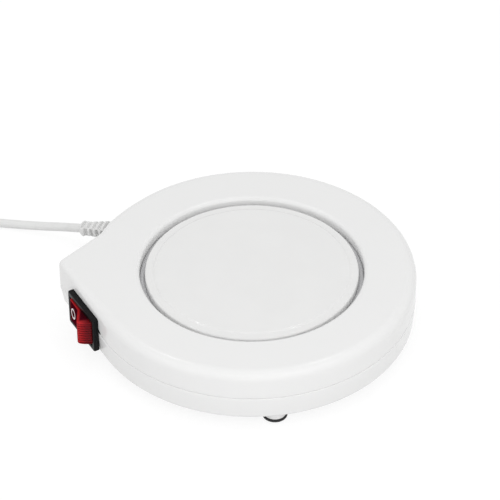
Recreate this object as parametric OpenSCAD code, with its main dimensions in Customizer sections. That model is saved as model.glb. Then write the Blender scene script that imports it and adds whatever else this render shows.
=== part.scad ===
// Electric mug warmer: a low round housing with one tail corner, a heated plate sunk in its top,
// an illuminated rocker switch in the flat face beside the tail, and a coiled mains lead.
// Millimetres, +Z up. The origin lies on the table, under the middle of the housing's footprint.

/* [Housing] */
// Radius of the round part of the housing
body_r = 61.2; // [58:0.1:66]
// Height of the case's lower edge above the table
foot_h = 4; // [3:0.1:6]
// Height of the case's wall, from its lower edge to the parting line
case_h = 9.6; // [8.6:0.1:12]
// Height of the cover, from the parting line to its flat top
cover_h = 11.4; // [11:0.1:14]
// Thickness of the side walls
wall = 2; // [1.6:0.1:2.4]
// Thickness of the case's floor
floor_t = 2; // [1.6:0.1:2.4]
// Thickness of the cover's top
top_t = 2.2; // [1.6:0.1:2.8]
// Radius of the cover's top edge
edge_r = 3.8; // [3:0.1:5]
// Radius of the case's lower edge
case_edge_r = 1.5; // [0.8:0.1:1.8]
// How far the case's wall leans in at its lower edge
case_draft = 0.5; // [0.2:0.1:0.9]
// Visible gap at the parting line
parting_gap = 0.25; // [0.1:0.05:0.4]
// Height of the case's tongue inside the cover
tongue_h = 1.5; // [1:0.1:2]
// Thickness of the case's tongue
tongue_t = 0.9; // [0.7:0.05:1]

/* [Tail] */
// Direction that the flat switch face looks to
face_angle = 209.1; // [204:0.1:214]
// Length of the switch face, from the round part to the corner
tail_reach = 39.2; // [37:0.1:42]
// Direction of the rear face of the tail
rear_angle = 48; // [44:0.5:52]
// Radius that blends the rear face into the round part
tail_blend_r = 10; // [6:0.5:16]
// Radius of the corner itself
tip_r = 1.6; // [1:0.1:3]

/* [Heater] */
// Radius of the opening in the cover
opening_r = 41.8; // [40.8:0.1:43]
// Radius of the opening's soft lip
lip_r = 1.6; // [0.8:0.1:2]
// Thickness of the collar round the opening
collar_t = 2; // [1.6:0.1:2.6]
// Width of the ledge that carries the plate
ledge_w = 4.3; // [3.8:0.1:5]
// Thickness of the ledge
ledge_t = 1.7; // [1.4:0.1:2.2]
// Depth of the ledge below the cover's flat top
ledge_depth = 6.4; // [6:0.1:7]
// Gap between the plate and the opening
plate_gap = 2; // [1:0.1:2.5]
// Depth of the plate's face below the cover's flat top
plate_drop = 1.2; // [0.6:0.1:1.8]
// Thickness of the plate
plate_t = 2.5; // [2:0.1:2.8]
// Height of the plate's rim
rim_h = 3.2; // [2.9:0.1:3.6]
// Thickness of the plate's rim
rim_t = 2; // [1.5:0.1:2.5]
// Radius of the plate's edge
plate_edge_r = 1.2; // [0.6:0.1:1.5]
// Width of the lower band round the plate's platform
band_w = 3.8; // [3:0.1:5]
// Depth of the band below the platform
band_drop = 0.35; // [0.2:0.05:0.5]
// Gap between the heating element and the plate's rim
element_in = 4.8; // [4:0.1:6]
// Thickness of the heating element
element_t = 1.2; // [0.8:0.1:1.5]
// Gap between the insulation pad and the ledge
pad_in = 3.5; // [2:0.1:5]
// How far the steel heat shield's edge lies inside the opening
shield_in = 0.8; // [0.4:0.1:2]
// Thickness of the heat shield
shield_t = 0.8; // [0.5:0.1:1]
// Distance of the plate's studs from the heating element's edge
stud_in = 5; // [4:0.1:7]
// Radius of a stud
stud_r = 1.5; // [1.25:0.05:1.75]
// Length of a stud below the plate
stud_l = 8.6; // [8:0.1:9]
// Width across flats of a stud's nut
nut_w = 5.5; // [5:0.1:6.5]
// Thickness of a stud's nut
nut_t = 2.4; // [2:0.1:2.6]

/* [Feet and screws] */
// Radius of a foot's boss
foot_r = 4.2; // [3.8:0.1:5]
// Radius of a foot's rubber pad
foot_pad_r = 4.6; // [4.2:0.1:5]
// Thickness of a foot's rubber pad
foot_pad_t = 1; // [0.8:0.1:1.5]
// Distance of the three round feet from the middle of the plate
foot_circle = 54.6; // [53:0.1:56]
// Direction of the front foot
foot_angle = -81.5; // [-86:0.5:-76]
// Radius of a case screw's shank
screw_r = 1.4; // [1.2:0.05:1.6]
// Radius of a case screw's head
screw_head_r = 2.6; // [2.2:0.1:3]
// Height of a case screw's head
screw_head_h = 1.7; // [1.4:0.1:2]
// Length of a case screw above the case's lower edge
screw_l = 15; // [13:0.1:17]
// Distance of the tail's foot from the corner
tail_foot_in = 12.6; // [11:0.1:14]
// Wall round a case screw
boss_wall = 2; // [1.5:0.1:2.4]

/* [Switch] */
// Length of the switch bezel
bezel_l = 21; // [19:0.1:22]
// Height of the switch bezel
bezel_w = 15; // [13:0.1:15.4]
// Thickness of the switch bezel
bezel_t = 2.1; // [1.5:0.1:2.5]
// Distance of the switch from the round end of its face
switch_offset = 16.2; // [15:0.1:18]
// Height of the switch's middle above the case's lower edge
switch_rise = 8.9; // [8.6:0.1:9.4]
// Length of the switch's body behind the wall
switch_body_l = 18.9; // [18.6:0.1:19.2]
// Height of the switch's body
switch_body_w = 12.9; // [12.6:0.1:13]
// Depth of the switch's body
switch_depth = 14; // [13.6:0.1:15]
// Wall of the switch's body at the two ends of the rocker
end_wall = 0.65; // [0.5:0.05:0.8]
// Wall of the switch's body along the rocker
side_wall = 1.15; // [1:0.05:1.4]
// Full travel of the rocker in degrees
rocker_travel = 32; // [28:1:34]
// Depth of the rocker's pivot behind the wall's face
pivot_depth = 0.4; // [0.2:0.1:0.8]
// Gap between the rocker and its window
rocker_gap = 0.13; // [0.1:0.01:0.3]
// Radius of the rocker's trunnions
trunnion_r = 1.2; // [1:0.05:1.5]
// How far the pressed end of the rocker stands out of the bezel
rocker_lip = 0.5; // [0:0.1:0.6]
// Depth of the valley between the rocker's two faces, from the pivot
valley_x = 3.4; // [3.2:0.1:3.8]
// Travel of the contact lever in degrees
lever_travel = 16; // [12:1:18]
// Depth of the contact lever's pivot behind the wall's face
lever_depth = 10; // [9.9:0.1:10.2]
// Width of a terminal's blade
blade_w = 4.8; // [4:0.1:5]
// Thickness of a terminal's blade
blade_t = 0.8; // [0.6:0.1:1]
// Length of a terminal's blade behind the switch
blade_l = 7.5; // [6.5:0.1:8]
// Distance between two terminals
blade_pitch = 5.2; // [4.6:0.1:5.4]

/* [Cut-outs and wiring] */
// Radius of the thermostat's corners
cutout_r = 1; // [0.5:0.1:1.5]
// Length of the thermostat
cutout_l = 20; // [16:0.5:22]
// Width of the thermostat
cutout_w = 7; // [6:0.1:8]
// Height of the thermostat
cutout_h = 3.6; // [3:0.1:4]
// Thickness of the strap over the thermostat
strap_t = 0.5; // [0.4:0.1:0.8]
// Width of the strap
strap_w = 6; // [4:0.5:8]
// Radius of the thermal fuse
fuse_r = 1.9; // [1.5:0.1:2]
// Length of the thermal fuse
fuse_l = 11; // [9:0.5:12]
// Wall of the sleeve round the fuse
sleeve_t = 0.25; // [0.2:0.05:0.3]
// Radius of an insulated wire
wire_r = 0.8; // [0.6:0.05:0.85]
// Width of the cord clamp
clamp_w = 5; // [4:0.5:6]
// Thickness of the cord clamp
clamp_t = 2.2; // [1.8:0.1:2.8]
// Distance from the cord to each clamp screw
clamp_pitch = 5.6; // [5:0.1:6.5]
// Radius of a clamp screw
clamp_screw_r = 1.1; // [0.9:0.05:1.2]
// Length of a floor vent
vent_l = 22; // [14:1:26]
// Width of a floor vent
vent_w = 2.2; // [1.6:0.1:2.6]
// Distance between two floor vents
vent_pitch = 5.5; // [4.5:0.1:7]

/* [Mains lead] */
// Diameter of the lead
cord_d = 3.4; // [3:0.1:4]
// Radius of the middle of the stored coil
coil_mid_r = 19; // [18:0.5:20]
// Turns of the coil that lie side by side
coil_rows = 4; // [3:1:4]
// Height of the stored coil
coil_h = 7.2; // [6.8:0.1:7.6]
// Thickness of the tie round the coil
tie_t = 0.4; // [0.3:0.1:0.6]
// Width of the tie
tie_w = 5; // [3:0.5:8]
// Bearing of the strain relief's neck, square to the wall
relief_root = 142.1; // [140:0.1:144]
// Bearing of the strain relief's tail
relief_angle = 155; // [150:1:160]
// Droop of the strain relief's tail
relief_droop = 17.5; // [14:0.5:20]
// Length of the strain relief's tail
relief_l = 20.2; // [18:0.1:24]
// Width of the tail at its neck
relief_w = 7; // [6:0.1:7.6]
// Height of the tail at its neck
relief_h = 6; // [5:0.1:6.6]
// Width of the tail at its end
relief_end_w = 4.8; // [4.4:0.1:5.4]
// Height of the tail at its end
relief_end_h = 4.4; // [4.2:0.1:5]
// Distance between two slots of the tail
slot_pitch = 2.6; // [2.4:0.1:3]
// Width of a slot of the tail
slot_w = 1.3; // [0.8:0.1:1.4]
// Width of the plug
plug_w = 35.3; // [33:0.1:36]
// Thickness of the plug
plug_h = 13.7; // [13:0.1:14]
// Length of the plug's body
plug_l = 37; // [34:0.5:40]
// Radius of a plug pin
pin_r = 2; // [1.9:0.05:2.1]
// Length of a plug pin
pin_l = 19; // [18:0.5:20]
// Length of the insulated root of a plug pin
pin_bare = 10; // [9:0.1:11]
// Distance between the plug pins
pin_pitch = 18.6; // [17:0.1:19]

/* [Hidden] */
$fn = 64;

// Clearance between a piece and the hole or slot that it passes through
slip = 0.1;
// How far a piece sinks into another of the same solid, so that they join
join = 0.5;
// Radial clearance of a turning pin, or of a screw in its hole
run_gap = 0.05;
// How far a cutter reaches past the face that it cuts
past = 1;

function dir(a) = [cos(a), sin(a)];
function lift(pts, z) = [for (p = pts) [p.x, p.y, z]];
function arc(c, r, a0, a1, n) = [for (i = [0:n]) c + r * dir(a0 + (a1 - a0) * i / n)];
function between(p, q, n) = [for (i = [1:n - 1]) p + (q - p) * i / n];
// Where the line with normal m at distance u meets the line with normal n at distance v
function crossing(m, u, n, v) = [u * n.y - v * m.y, v * m.x - u * n.x] / (m.x * n.y - m.y * n.x);
// Rectangle of length l and width w with corners of radius r
function rounded(l, w, r) = [for (q = [0:3], p = arc([0, 0], r, 90 * q, 90 * q + 90, 4))
    p + [(q == 1 || q == 2 ? -1 : 1) * (l / 2 - r), (q > 1 ? -1 : 1) * (w / 2 - r)]];

// Heights above the table
parting_z = foot_h + case_h;
top_z = parting_z + cover_h;
floor_z = foot_h + floor_t;
ledge_z = top_z - ledge_depth;
collar_z = ledge_z - ledge_t;
under_z = top_z - top_t;
plate_z = top_z - plate_drop;
rim_z = plate_z - rim_h;
element_z = plate_z - plate_t - element_t;
shield_z = collar_z - shield_t;
seat_z = foot_h + 0.4;

// Radii about the middle of the plate
collar_r = opening_r + collar_t;
ledge_r = opening_r - ledge_w;
shield_r = opening_r - shield_in;
pad_r = ledge_r - pad_in;
plate_r = opening_r - plate_gap;
element_r = plate_r - rim_t - element_in;
stud_circle = element_r - stud_in;
boss_r = screw_r + run_gap + boss_wall;

// Plan of the housing, moved in by d: round part, blend, rear face, corner, switch face
face_n = dir(face_angle);
face_t = dir(face_angle + 90);
rear_n = dir(rear_angle + 90);
corner = body_r * face_n - tail_reach * face_t;
rear_k = corner * rear_n;
blend_k = rear_k + tail_blend_r;
blend_c = rear_n * blend_k - dir(rear_angle) * sqrt(pow(body_r + tail_blend_r, 2) - pow(blend_k, 2));
blend_a = atan2(blend_c.y, blend_c.x);
function tip_centre(d, rho) = crossing(face_n, body_r - d - rho, rear_n, rear_k - d - rho);
function outline(d) = let(
    rho = max(tip_r - d, 0.3),
    round_part = arc([0, 0], body_r - d, face_angle, 360 + blend_a, 66),
    blend = arc(blend_c, tail_blend_r + d, blend_a + 180, rear_angle + 270, 4),
    nose = arc(tip_centre(d, rho), rho, rear_angle + 90, face_angle, 4))
    concat(round_part, blend, between(blend[4], nose[0], 4), nose, between(nose[4], round_part[0], 8));
// A circle with one point for each point of the plan, at the same bearing
function round_ring(r) = [for (p = outline(0)) r * p / norm(p)];
origin_x = (body_r + tip_centre(0, tip_r).x - tip_r) / 2;

// Skin between closed rings; the section is traced outer wall up, inner wall down
function skin_faces(rows, n, closed) = [
    for (i = [0:rows - (closed ? 1 : 2)], j = [0:n - 1])
        let(a = i * n, b = ((i + 1) % rows) * n, k = (j + 1) % n)
        [a + j, b + j, b + k, a + k]];
// The same skin in triangles, for rings that twist
function split_faces(faces) = [for (f = faces, t = [[0, 1, 2], [0, 2, 3]]) [f[t.x], f[t.y], f[t.z]]];
function cap_faces(rows, n) = [[for (j = [0:n - 1]) j], [for (j = [n - 1:-1:0]) (rows - 1) * n + j]];
module ring_skin(rings) polyhedron(points = [for (r = rings, p = r) p],
    faces = skin_faces(len(rings), len(rings[0]), true), convexity = 6);
module capped_skin(rings) polyhedron(points = [for (r = rings, p = r) p],
    faces = concat(skin_faces(len(rings), len(rings[0]), false), cap_faces(len(rings), len(rings[0]))),
    convexity = 6);

// Tube along a path; each ring stands square to the path, with one corner turned towards up
function unit(v) = v / norm(v);
function heading(path, i) = unit(path[min(i + 1, len(path) - 1)] - path[max(i - 1, 0)]);
function tube_ring(p, t, up, r, sides) = let(u = unit(cross(t, up)), v = cross(t, u))
    [for (k = [0:sides - 1]) let(a = 360 * (k + 0.5) / sides) p + r * (cos(a) * u + sin(a) * v)];
module tube(path, r, sides = 8, up = [0, 0, 1]) polyhedron(
    points = [for (i = [0:len(path) - 1], p = tube_ring(path[i], heading(path, i), up, r, sides)) p],
    faces = concat(split_faces(skin_faces(len(path), sides, false)), cap_faces(len(path), sides)),
    convexity = 6);
// Ring of a rounded rectangle that stands square to +X
function slab(x, w, h, r) = [for (p = rounded(w, h, r)) [x, p.x, p.y]];

// Places
module placed() translate([-origin_x, 0, 0]) children();
tail_foot = corner * (1 - tail_foot_in / norm(corner));
foot_places = concat([for (i = [0:2]) foot_circle * dir(foot_angle + 90 * i)], [tail_foot]);
module at_feet() for (p = foot_places) translate([p.x, p.y, 0]) children();
stud_places = [for (i = [0:2]) stud_circle * dir(90 + 120 * i)];
module at_studs() for (p = stud_places) translate([p.x, p.y, 0]) children();
switch_z = foot_h + switch_rise;
// Switch frame: +X out of the wall, +Y away from the tail, origin on the wall's outer face
module at_switch() rotate([0, 0, face_angle]) translate([body_r, -switch_offset, switch_z]) children();
// Root frame of the strain relief: +X out of the wall, square to it
module at_root() rotate([0, 0, relief_root]) translate([body_r, 0, parting_z]) children();
clamp_spot = [-30, 29];
module at_clamp() translate([clamp_spot.x, clamp_spot.y, 0]) rotate([0, 0, relief_angle]) children();

// ---- Housing ----

inner_edge_r = max(edge_r - top_t, 0.5);
rebate = wall - tongue_t - slip;
cutout_half_l = switch_body_l / 2 + slip;
cutout_half_w = switch_body_w / 2 + slip;
neck_w = 5.4;
neck_h = 5.2;
flange_w = 8.4;
flange_h = 7.2;
flange_t = 1.6;
flange_gap = 0.6;
core_r = cord_d / 2 + 0.35;
slot_first = 2.4;
slot_n = 5;
relief_start = 2;
rib_t = 1.2;
rib_h = 3.6;
vent_n = 3;
vent_y = -8;
post_wall = 1.4;
point_l = 1.5;
shank_l = screw_l - seat_z + foot_h - point_l - join;
cross_l = 3;
cross_w = 0.7;
chamfer = 0.25;

// Openings that both halves of the housing share
module shared_cuts() {
    at_switch() translate([-wall - 2, -cutout_half_l, -cutout_half_w])
        cube([wall + 2 + past, 2 * cutout_half_l, 2 * cutout_half_w]);
    at_root() translate([-wall - 2, -neck_w / 2 - slip, -neck_h / 2 - slip])
        cube([wall + 2 + past, neck_w + 2 * slip, neck_h + 2 * slip]);
}

module cover_shell() ring_skin(concat(
    [lift(outline(chamfer), parting_z + parting_gap), lift(outline(0), parting_z + parting_gap + chamfer)],
    [for (a = [90:-22.5:0]) lift(outline(edge_r * (1 - sin(a))), top_z - edge_r * (1 - cos(a)))],
    [for (a = [90:30:180]) lift(round_ring(opening_r + lip_r * (1 + cos(a))), top_z - lip_r * (1 - sin(a)))],
    [lift(round_ring(opening_r), ledge_z), lift(round_ring(ledge_r), ledge_z)],
    [lift(round_ring(ledge_r), collar_z), lift(round_ring(collar_r), collar_z)],
    [lift(round_ring(collar_r), under_z), lift(outline(wall + inner_edge_r), under_z)],
    [lift(outline(wall), under_z - inner_edge_r)],
    [lift(outline(wall), parting_z + tongue_h + slip), lift(outline(rebate), parting_z + tongue_h + slip)],
    [lift(outline(rebate), parting_z + parting_gap)]));

module top_cover() color("white") difference() {
    union() {
        cover_shell();
        at_feet() translate([0, 0, parting_z]) cylinder(r = boss_r, h = under_z - parting_z + join);
        // Ribs from the collar to the wall, half way between the bosses
        for (i = [0:3]) rotate([0, 0, foot_angle + 45 + 90 * i])
            translate([collar_r - join, -rib_t / 2, under_z - rib_h])
                cube([body_r - wall - collar_r + 2 * join, rib_t, rib_h + join]);
    }
    shared_cuts();
    at_feet() translate([0, 0, parting_z - past]) cylinder(r = screw_r + run_gap, h = screw_l - case_h + past);
}

module case_shell() capped_skin(concat(
    [for (a = [0:30:90])
        lift(outline(case_draft + case_edge_r * (1 - sin(a))), foot_h + case_edge_r * (1 - cos(a)))],
    [lift(outline(0), parting_z - chamfer), lift(outline(chamfer), parting_z)],
    [lift(outline(wall - tongue_t), parting_z), lift(outline(wall - tongue_t), parting_z + tongue_h)],
    [lift(outline(wall), parting_z + tongue_h), lift(outline(wall + case_draft), floor_z)]));

// Cradle and two screw posts that hold the lead inside the case
module clamp_seat() at_clamp() {
    translate([-clamp_w / 2, -clamp_pitch, floor_z - join])
        cube([clamp_w, 2 * clamp_pitch, clamp_cord_z - floor_z + join]);
    for (s = [-1, 1]) translate([0, s * clamp_pitch, floor_z - join])
        cylinder(r = clamp_screw_r + run_gap + post_wall, h = clamp_z - floor_z + join);
}

module bottom_case() color("white") difference() {
    union() {
        case_shell();
        at_feet() translate([0, 0, foot_pad_t]) cylinder(r = foot_r, h = foot_h - foot_pad_t + join);
        at_feet() translate([0, 0, floor_z - join]) cylinder(r = boss_r, h = parting_z - slip - floor_z + join);
        clamp_seat();
    }
    shared_cuts();
    at_feet() translate([0, 0, -past]) cylinder(r = screw_r + run_gap, h = parting_z + 2 * past);
    at_feet() translate([0, 0, -past]) cylinder(r = screw_head_r + slip, h = seat_z + past);
    at_clamp() {
        translate([-clamp_w, 0, clamp_cord_z]) rotate([0, 90, 0])
            cylinder(r = cord_d / 2 + run_gap, h = 2 * clamp_w);
        for (s = [-1, 1]) translate([0, s * clamp_pitch, post_hole_z])
            cylinder(r = clamp_screw_r + run_gap, h = clamp_z - post_hole_z + past);
    }
    for (i = [-vent_n:vent_n]) translate([i * vent_pitch, vent_y, foot_h - past])
        linear_extrude(floor_t + 2 * past) polygon(rounded(vent_w, vent_l, vent_w / 2));
}

// Cross-head screws, whose heads press on the seats inside the feet
module case_screws() color("silver") at_feet() translate([0, 0, seat_z]) difference() {
    union() {
        translate([0, 0, -screw_head_h]) cylinder(r = screw_head_r, h = screw_head_h);
        cylinder(r = screw_r, h = shank_l);
        translate([0, 0, shank_l]) cylinder(r1 = screw_r, r2 = screw_r / 3, h = point_l);
    }
    for (a = [0, 90]) rotate([0, 0, a]) translate([-cross_l / 2, -cross_w / 2, -screw_head_h - past])
        cube([cross_l, cross_w, past + screw_head_h / 2]);
}

module rubber_feet() color([0.08, 0.08, 0.08]) at_feet() {
    cylinder(r = foot_pad_r, h = foot_pad_t);
    translate([0, 0, foot_pad_t])
        cylinder(r = screw_head_r - slip, h = seat_z - screw_head_h - foot_pad_t - slip);
}

// ---- Heater ----

// Section of the dish: platform, slope, lower band, quarter round edge and turned-down rim
band_slope = 1.1;
module plate_section() polygon(concat(
    [[0, plate_z - plate_t], [0, plate_z], [plate_r - band_w, plate_z]],
    [[plate_r - band_w + band_slope, plate_z - band_drop]],
    [for (a = [90:-15:0])
        [plate_r - plate_edge_r, plate_z - band_drop - plate_edge_r] + plate_edge_r * dir(a)],
    [[plate_r, rim_z], [plate_r - rim_t, rim_z], [plate_r - rim_t, plate_z - plate_t]]));
module heater_plate() color([0.95, 0.95, 0.94]) {
    rotate_extrude() plate_section();
    at_studs() translate([0, 0, plate_z - plate_t - stud_l]) cylinder(r = stud_r, h = stud_l + join);
}

// The seal lies on the ledge under the plate's rim, and its lip closes the gap round the rim
module plate_seal() color([0.7, 0.7, 0.7]) rotate_extrude() polygon([
    [ledge_r + slip, ledge_z], [opening_r - slip, ledge_z], [opening_r - slip, rim_z + seal_lip],
    [plate_r + slip, rim_z + seal_lip], [plate_r + slip, rim_z], [ledge_r + slip, rim_z]]);

module round_layer(r, z, h, hole_r) translate([0, 0, z]) difference() {
    cylinder(r = r, h = h);
    for (p = stud_places) translate([p.x, p.y, -past]) cylinder(r = hole_r, h = h + 2 * past);
    translate([-tab_x - tab_room, tab_y - tab_w, -past])
        cube([2 * (tab_x + tab_room), 2 * tab_w, h + 2 * past]);
}
module heating_element() color("tan") translate([0, 0, element_z]) difference() {
    cylinder(r = element_r, h = element_t);
    for (p = stud_places) translate([p.x, p.y, -past]) cylinder(r = stud_r + slip, h = element_t + 2 * past);
}
module element_tabs() color("gold") for (s = [-1, 1])
    translate([s * tab_x - tab_t / 2, tab_y - tab_w / 2, tab_end_z])
        cube([tab_t, tab_w, element_z - tab_end_z]);
module insulation_pad() color("beige") round_layer(pad_r, collar_z, element_z - collar_z, stud_r + slip);
module heat_shield() color("silver") round_layer(shield_r, shield_z, shield_t, stud_r + slip);
module plate_nuts() color("silver") at_studs() translate([0, 0, shield_z - nut_t]) difference() {
    cylinder(r = nut_w / sqrt(3), h = nut_t, $fn = 6);
    translate([0, 0, -past]) cylinder(r = stud_r + run_gap, h = nut_t + 2 * past);
}

module thermostat() color("ivory") translate([cutout_spot.x, cutout_spot.y, shield_z - cutout_h])
    linear_extrude(cutout_h) polygon(rounded(cutout_l, cutout_w, cutout_r));
module thermostat_strap() color("silver") translate([cutout_spot.x - strap_w / 2, cutout_spot.y, 0])
    rotate([90, 0, 90]) linear_extrude(strap_w) polygon([
        [strap_in + strap_foot, shield_z], [strap_in, shield_z], [strap_in, shield_z - cutout_h],
        [-strap_in, shield_z - cutout_h], [-strap_in, shield_z], [-strap_in - strap_foot, shield_z],
        [-strap_in - strap_foot, shield_z - strap_t], [-strap_in - strap_t, shield_z - strap_t],
        [-strap_in - strap_t, shield_z - cutout_h - strap_t],
        [strap_in + strap_t, shield_z - cutout_h - strap_t],
        [strap_in + strap_t, shield_z - strap_t], [strap_in + strap_foot, shield_z - strap_t]]);
module thermal_fuse() color("silver") translate([fuse_spot.x, fuse_spot.y, fuse_z]) rotate([90, 0, 0])
    cylinder(r = fuse_r, h = fuse_l, center = true);
module fuse_sleeve() color("white") translate([fuse_spot.x, fuse_spot.y, fuse_z]) rotate([90, 0, 0])
    difference() {
        cylinder(r = fuse_r + run_gap + sleeve_t, h = sleeve_l, center = true);
        cylinder(r = fuse_r + run_gap, h = sleeve_l + 2 * past, center = true);
    }

// ---- Switch ----

window_l = switch_body_l / 2 - end_wall;
window_w = switch_body_w / 2 - side_wall;
bezel_corner_r = 1;
body_floor = 1.2;
latch_gap = 0.4;
latch_out = 0.8;
latch_l = 5;
latch_w = 4.8;
rocker_half_w = window_w - 0.25;
rocker_r = window_l - rocker_gap;
pressed_a = asin((bezel_t + pivot_depth + rocker_lip) / rocker_r);
rocker_a = pressed_a + rocker_travel / 2;
skirt_a = -32;
valley_soft = 0.06;
plunger_x = -4.4;
plunger_r = 1.5;
plunger_tip = 8.75;
plunger_neck_r = 0.8;
boss_x = -6.2;
boss_l = 4;
bore_l = 5.6;
pocket_x = -5;
pocket_l = 6.9;
sleeve_r = 2.5;
groove_w = 0.4;
groove_deep = 0.25;
groove_n = 4;
lamp_r = 1.6;
lamp_l = 7.4;
lamp_room = 0.4;
lamp_spot = [-1.2, -4.9];
blade_ys = [-blade_pitch, 0, blade_pitch];
saddle_w = 2.6;
saddle_h = 3.2;
lever_pin_r = 0.6;
contact_r = 1;
contact_y = 4.4;
contact_gap = 0.6;
foot_l = 1.4;
wire_gap = 0.15;
barrel_l = 4;
barrel_t = 0.6;
crimp_t = 2.2;
crimp_x = -switch_depth - blade_l - barrel_l;

module switch_housing() color([0.1, 0.1, 0.1]) at_switch() difference() {
    union() {
        rotate([90, 0, 90]) linear_extrude(bezel_t) polygon(rounded(bezel_l, bezel_w, bezel_corner_r));
        translate([-switch_depth, -switch_body_l / 2, -switch_body_w / 2])
            cube([switch_depth + join, switch_body_l, switch_body_w]);
        for (s = [0, 1]) mirror([0, s, 0]) translate([-wall, switch_body_l / 2, -latch_w / 2])
            linear_extrude(latch_w)
                polygon([[-latch_gap, -end_wall / 2], [-latch_gap, latch_out], [-latch_l, -end_wall / 2]]);
    }
    translate([body_floor - switch_depth, -window_l, -window_w])
        cube([switch_depth + bezel_t, 2 * window_l, 2 * window_w]);
    translate([-pivot_depth, 0, -switch_body_w / 2]) cylinder(r = trunnion_r + run_gap, h = switch_body_w);
    for (y = blade_ys) translate([-switch_depth - past, y - blade_t / 2, -blade_w / 2])
        cube([body_floor + 2 * past, blade_t, blade_w]);
}

module terminal_blade(y) translate([-switch_depth - blade_l, y - blade_t / 2, -blade_w / 2])
    cube([blade_l + body_floor + join, blade_t, blade_w]);
module switch_terminals() color("gold") at_switch() {
    // Common terminal, whose head is the saddle of the contact lever
    difference() {
        union() {
            terminal_blade(0);
            translate([body_floor - switch_depth, -saddle_w / 2, -saddle_h / 2])
                cube([switch_depth - body_floor - lever_depth, saddle_w, saddle_h]);
        }
        translate([-lever_depth, 0, -saddle_h]) cylinder(r = lever_pin_r + run_gap, h = 2 * saddle_h);
    }
    // Line terminal, with the fixed contact
    terminal_blade(-blade_pitch);
    translate([body_floor - switch_depth, -blade_pitch - blade_t / 2, -blade_w * 3 / 8])
        cube([foot_l, blade_pitch - contact_y + contact_r + blade_t / 2 + 0.2, blade_w * 3 / 4]);
    translate([body_floor - switch_depth + foot_l / 2, -contact_y, 0]) rotate([0, 90, 0])
        cylinder(r = contact_r, h = switch_depth - body_floor - foot_l / 2 - lever_depth - contact_gap);
    // Lamp terminal
    terminal_blade(blade_pitch);
}

module crimp_receptacles() color("silver") at_switch() for (y = blade_ys) translate([0, y, 0]) difference() {
    union() {
        translate([-switch_depth - blade_l - 0.4, -crimp_t / 2, -blade_w / 2 - barrel_t])
            cube([blade_l - 0.8, crimp_t, blade_w + 2 * barrel_t]);
        translate([crimp_x, 0, 0]) rotate([0, 90, 0]) cylinder(r = wire_r + wire_gap + barrel_t, h = barrel_l);
    }
    translate([-switch_depth - blade_l - run_gap, -blade_t / 2 - run_gap, -blade_w / 2 - run_gap])
        cube([blade_l + past, blade_t + 2 * run_gap, blade_w + 2 * run_gap]);
    translate([crimp_x - past, 0, 0]) rotate([0, 90, 0])
        cylinder(r = wire_r + wire_gap, h = barrel_l + past - barrel_t);
}

// Rocker frame: origin on the pivot, +X out, turned to the switch's resting state
module at_rocker() at_switch() translate([-pivot_depth, 0, 0]) rotate([0, 0, -rocker_travel / 2]) children();
module rocker_section() polygon(concat(
    [[valley_x + valley_soft, -0.8], [valley_x, 0], [valley_x + valley_soft, 0.8]],
    [for (a = [rocker_a:-(rocker_a - skirt_a) / 8:skirt_a]) rocker_r * [sin(a), cos(a)]],
    [for (a = [skirt_a:(rocker_a - skirt_a) / 8:rocker_a]) rocker_r * [sin(a), -cos(a)]]));
module switch_rocker() color("red") at_rocker() difference() {
    union() {
        translate([0, 0, -rocker_half_w]) linear_extrude(2 * rocker_half_w) rocker_section();
        translate([0, 0, -switch_body_w / 2 + slip]) cylinder(r = trunnion_r, h = switch_body_w - 2 * slip);
        translate([boss_x, 0, 0]) rotate([0, 90, 0]) cylinder(r = sleeve_r, h = boss_l);
    }
    translate([boss_x - past, 0, 0]) rotate([0, 90, 0]) cylinder(r = plunger_r + run_gap, h = bore_l + past);
    for (s = [-1, 1]) translate([pocket_x, s * lamp_spot.y - lamp_r - lamp_room, -lamp_l / 2 - slip])
        cube([pocket_l, 2 * (lamp_r + lamp_room), lamp_l + 2 * slip]);
    for (z = [-groove_n:groove_n]) translate([0, 0, z - groove_w / 2]) difference() {
        cylinder(r = rocker_r + past, h = groove_w);
        translate([0, 0, -past]) cylinder(r = rocker_r - groove_deep, h = groove_w + 2 * past);
    }
}
spring_turns = 5;
spring_r = 1.2;
spring_wire_r = 0.2;
spring_x = boss_x + bore_l - spring_wire_r - run_gap;
spring_l = -plunger_x + spring_x - spring_wire_r - run_gap;
spring_path = [for (i = [0:12 * spring_turns]) let(a = 30 * i)
    [spring_x - i * spring_l / (12 * spring_turns), spring_r * cos(a), spring_r * sin(a)]];
module rocker_spring() color("silver") at_rocker() tube(spring_path, spring_wire_r, 6, [1, 0, 0]);
module rocker_plunger() color("ivory") at_rocker() {
    translate([plunger_r - plunger_tip, 0, 0]) {
        sphere(r = plunger_r);
        rotate([0, 90, 0]) cylinder(r = plunger_r, h = plunger_tip - plunger_r + plunger_x);
        rotate([0, 90, 0]) cylinder(r = plunger_neck_r, h = plunger_tip + plunger_x);
    }
}
module switch_lamp() color("orange") at_rocker() translate([lamp_spot.x, lamp_spot.y, -lamp_l / 2])
    cylinder(r = lamp_r, h = lamp_l);

arm_rise = 14.5;
arm_l = 5.3;
arm_w = 4;
arm_x = 0.1;
arm_t = 0.5;
module lever_arm() linear_extrude(arm_w) polygon([
    [arm_x, 0], [arm_x + arm_t, 0], [arm_x + arm_t, 0] + arm_l * [sin(arm_rise), cos(arm_rise)],
    [arm_x, 0] + (arm_l + 0.1) * [sin(arm_rise), cos(arm_rise)]]);
module contact_lever() color("goldenrod") at_switch() translate([-lever_depth, 0, 0])
    rotate([0, 0, lever_travel / 2]) {
        translate([0, 0, -arm_w / 2 - 0.2]) cylinder(r = lever_pin_r, h = arm_w + 0.4);
        for (s = [0, 1]) mirror([0, s, 0]) {
            translate([0, 0, -arm_w / 2]) lever_arm();
            translate([0.35, contact_y, 0]) rotate([0, 90, 0]) cylinder(r = contact_r, h = 1.1);
        }
    }

// ---- Wiring ----

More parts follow.
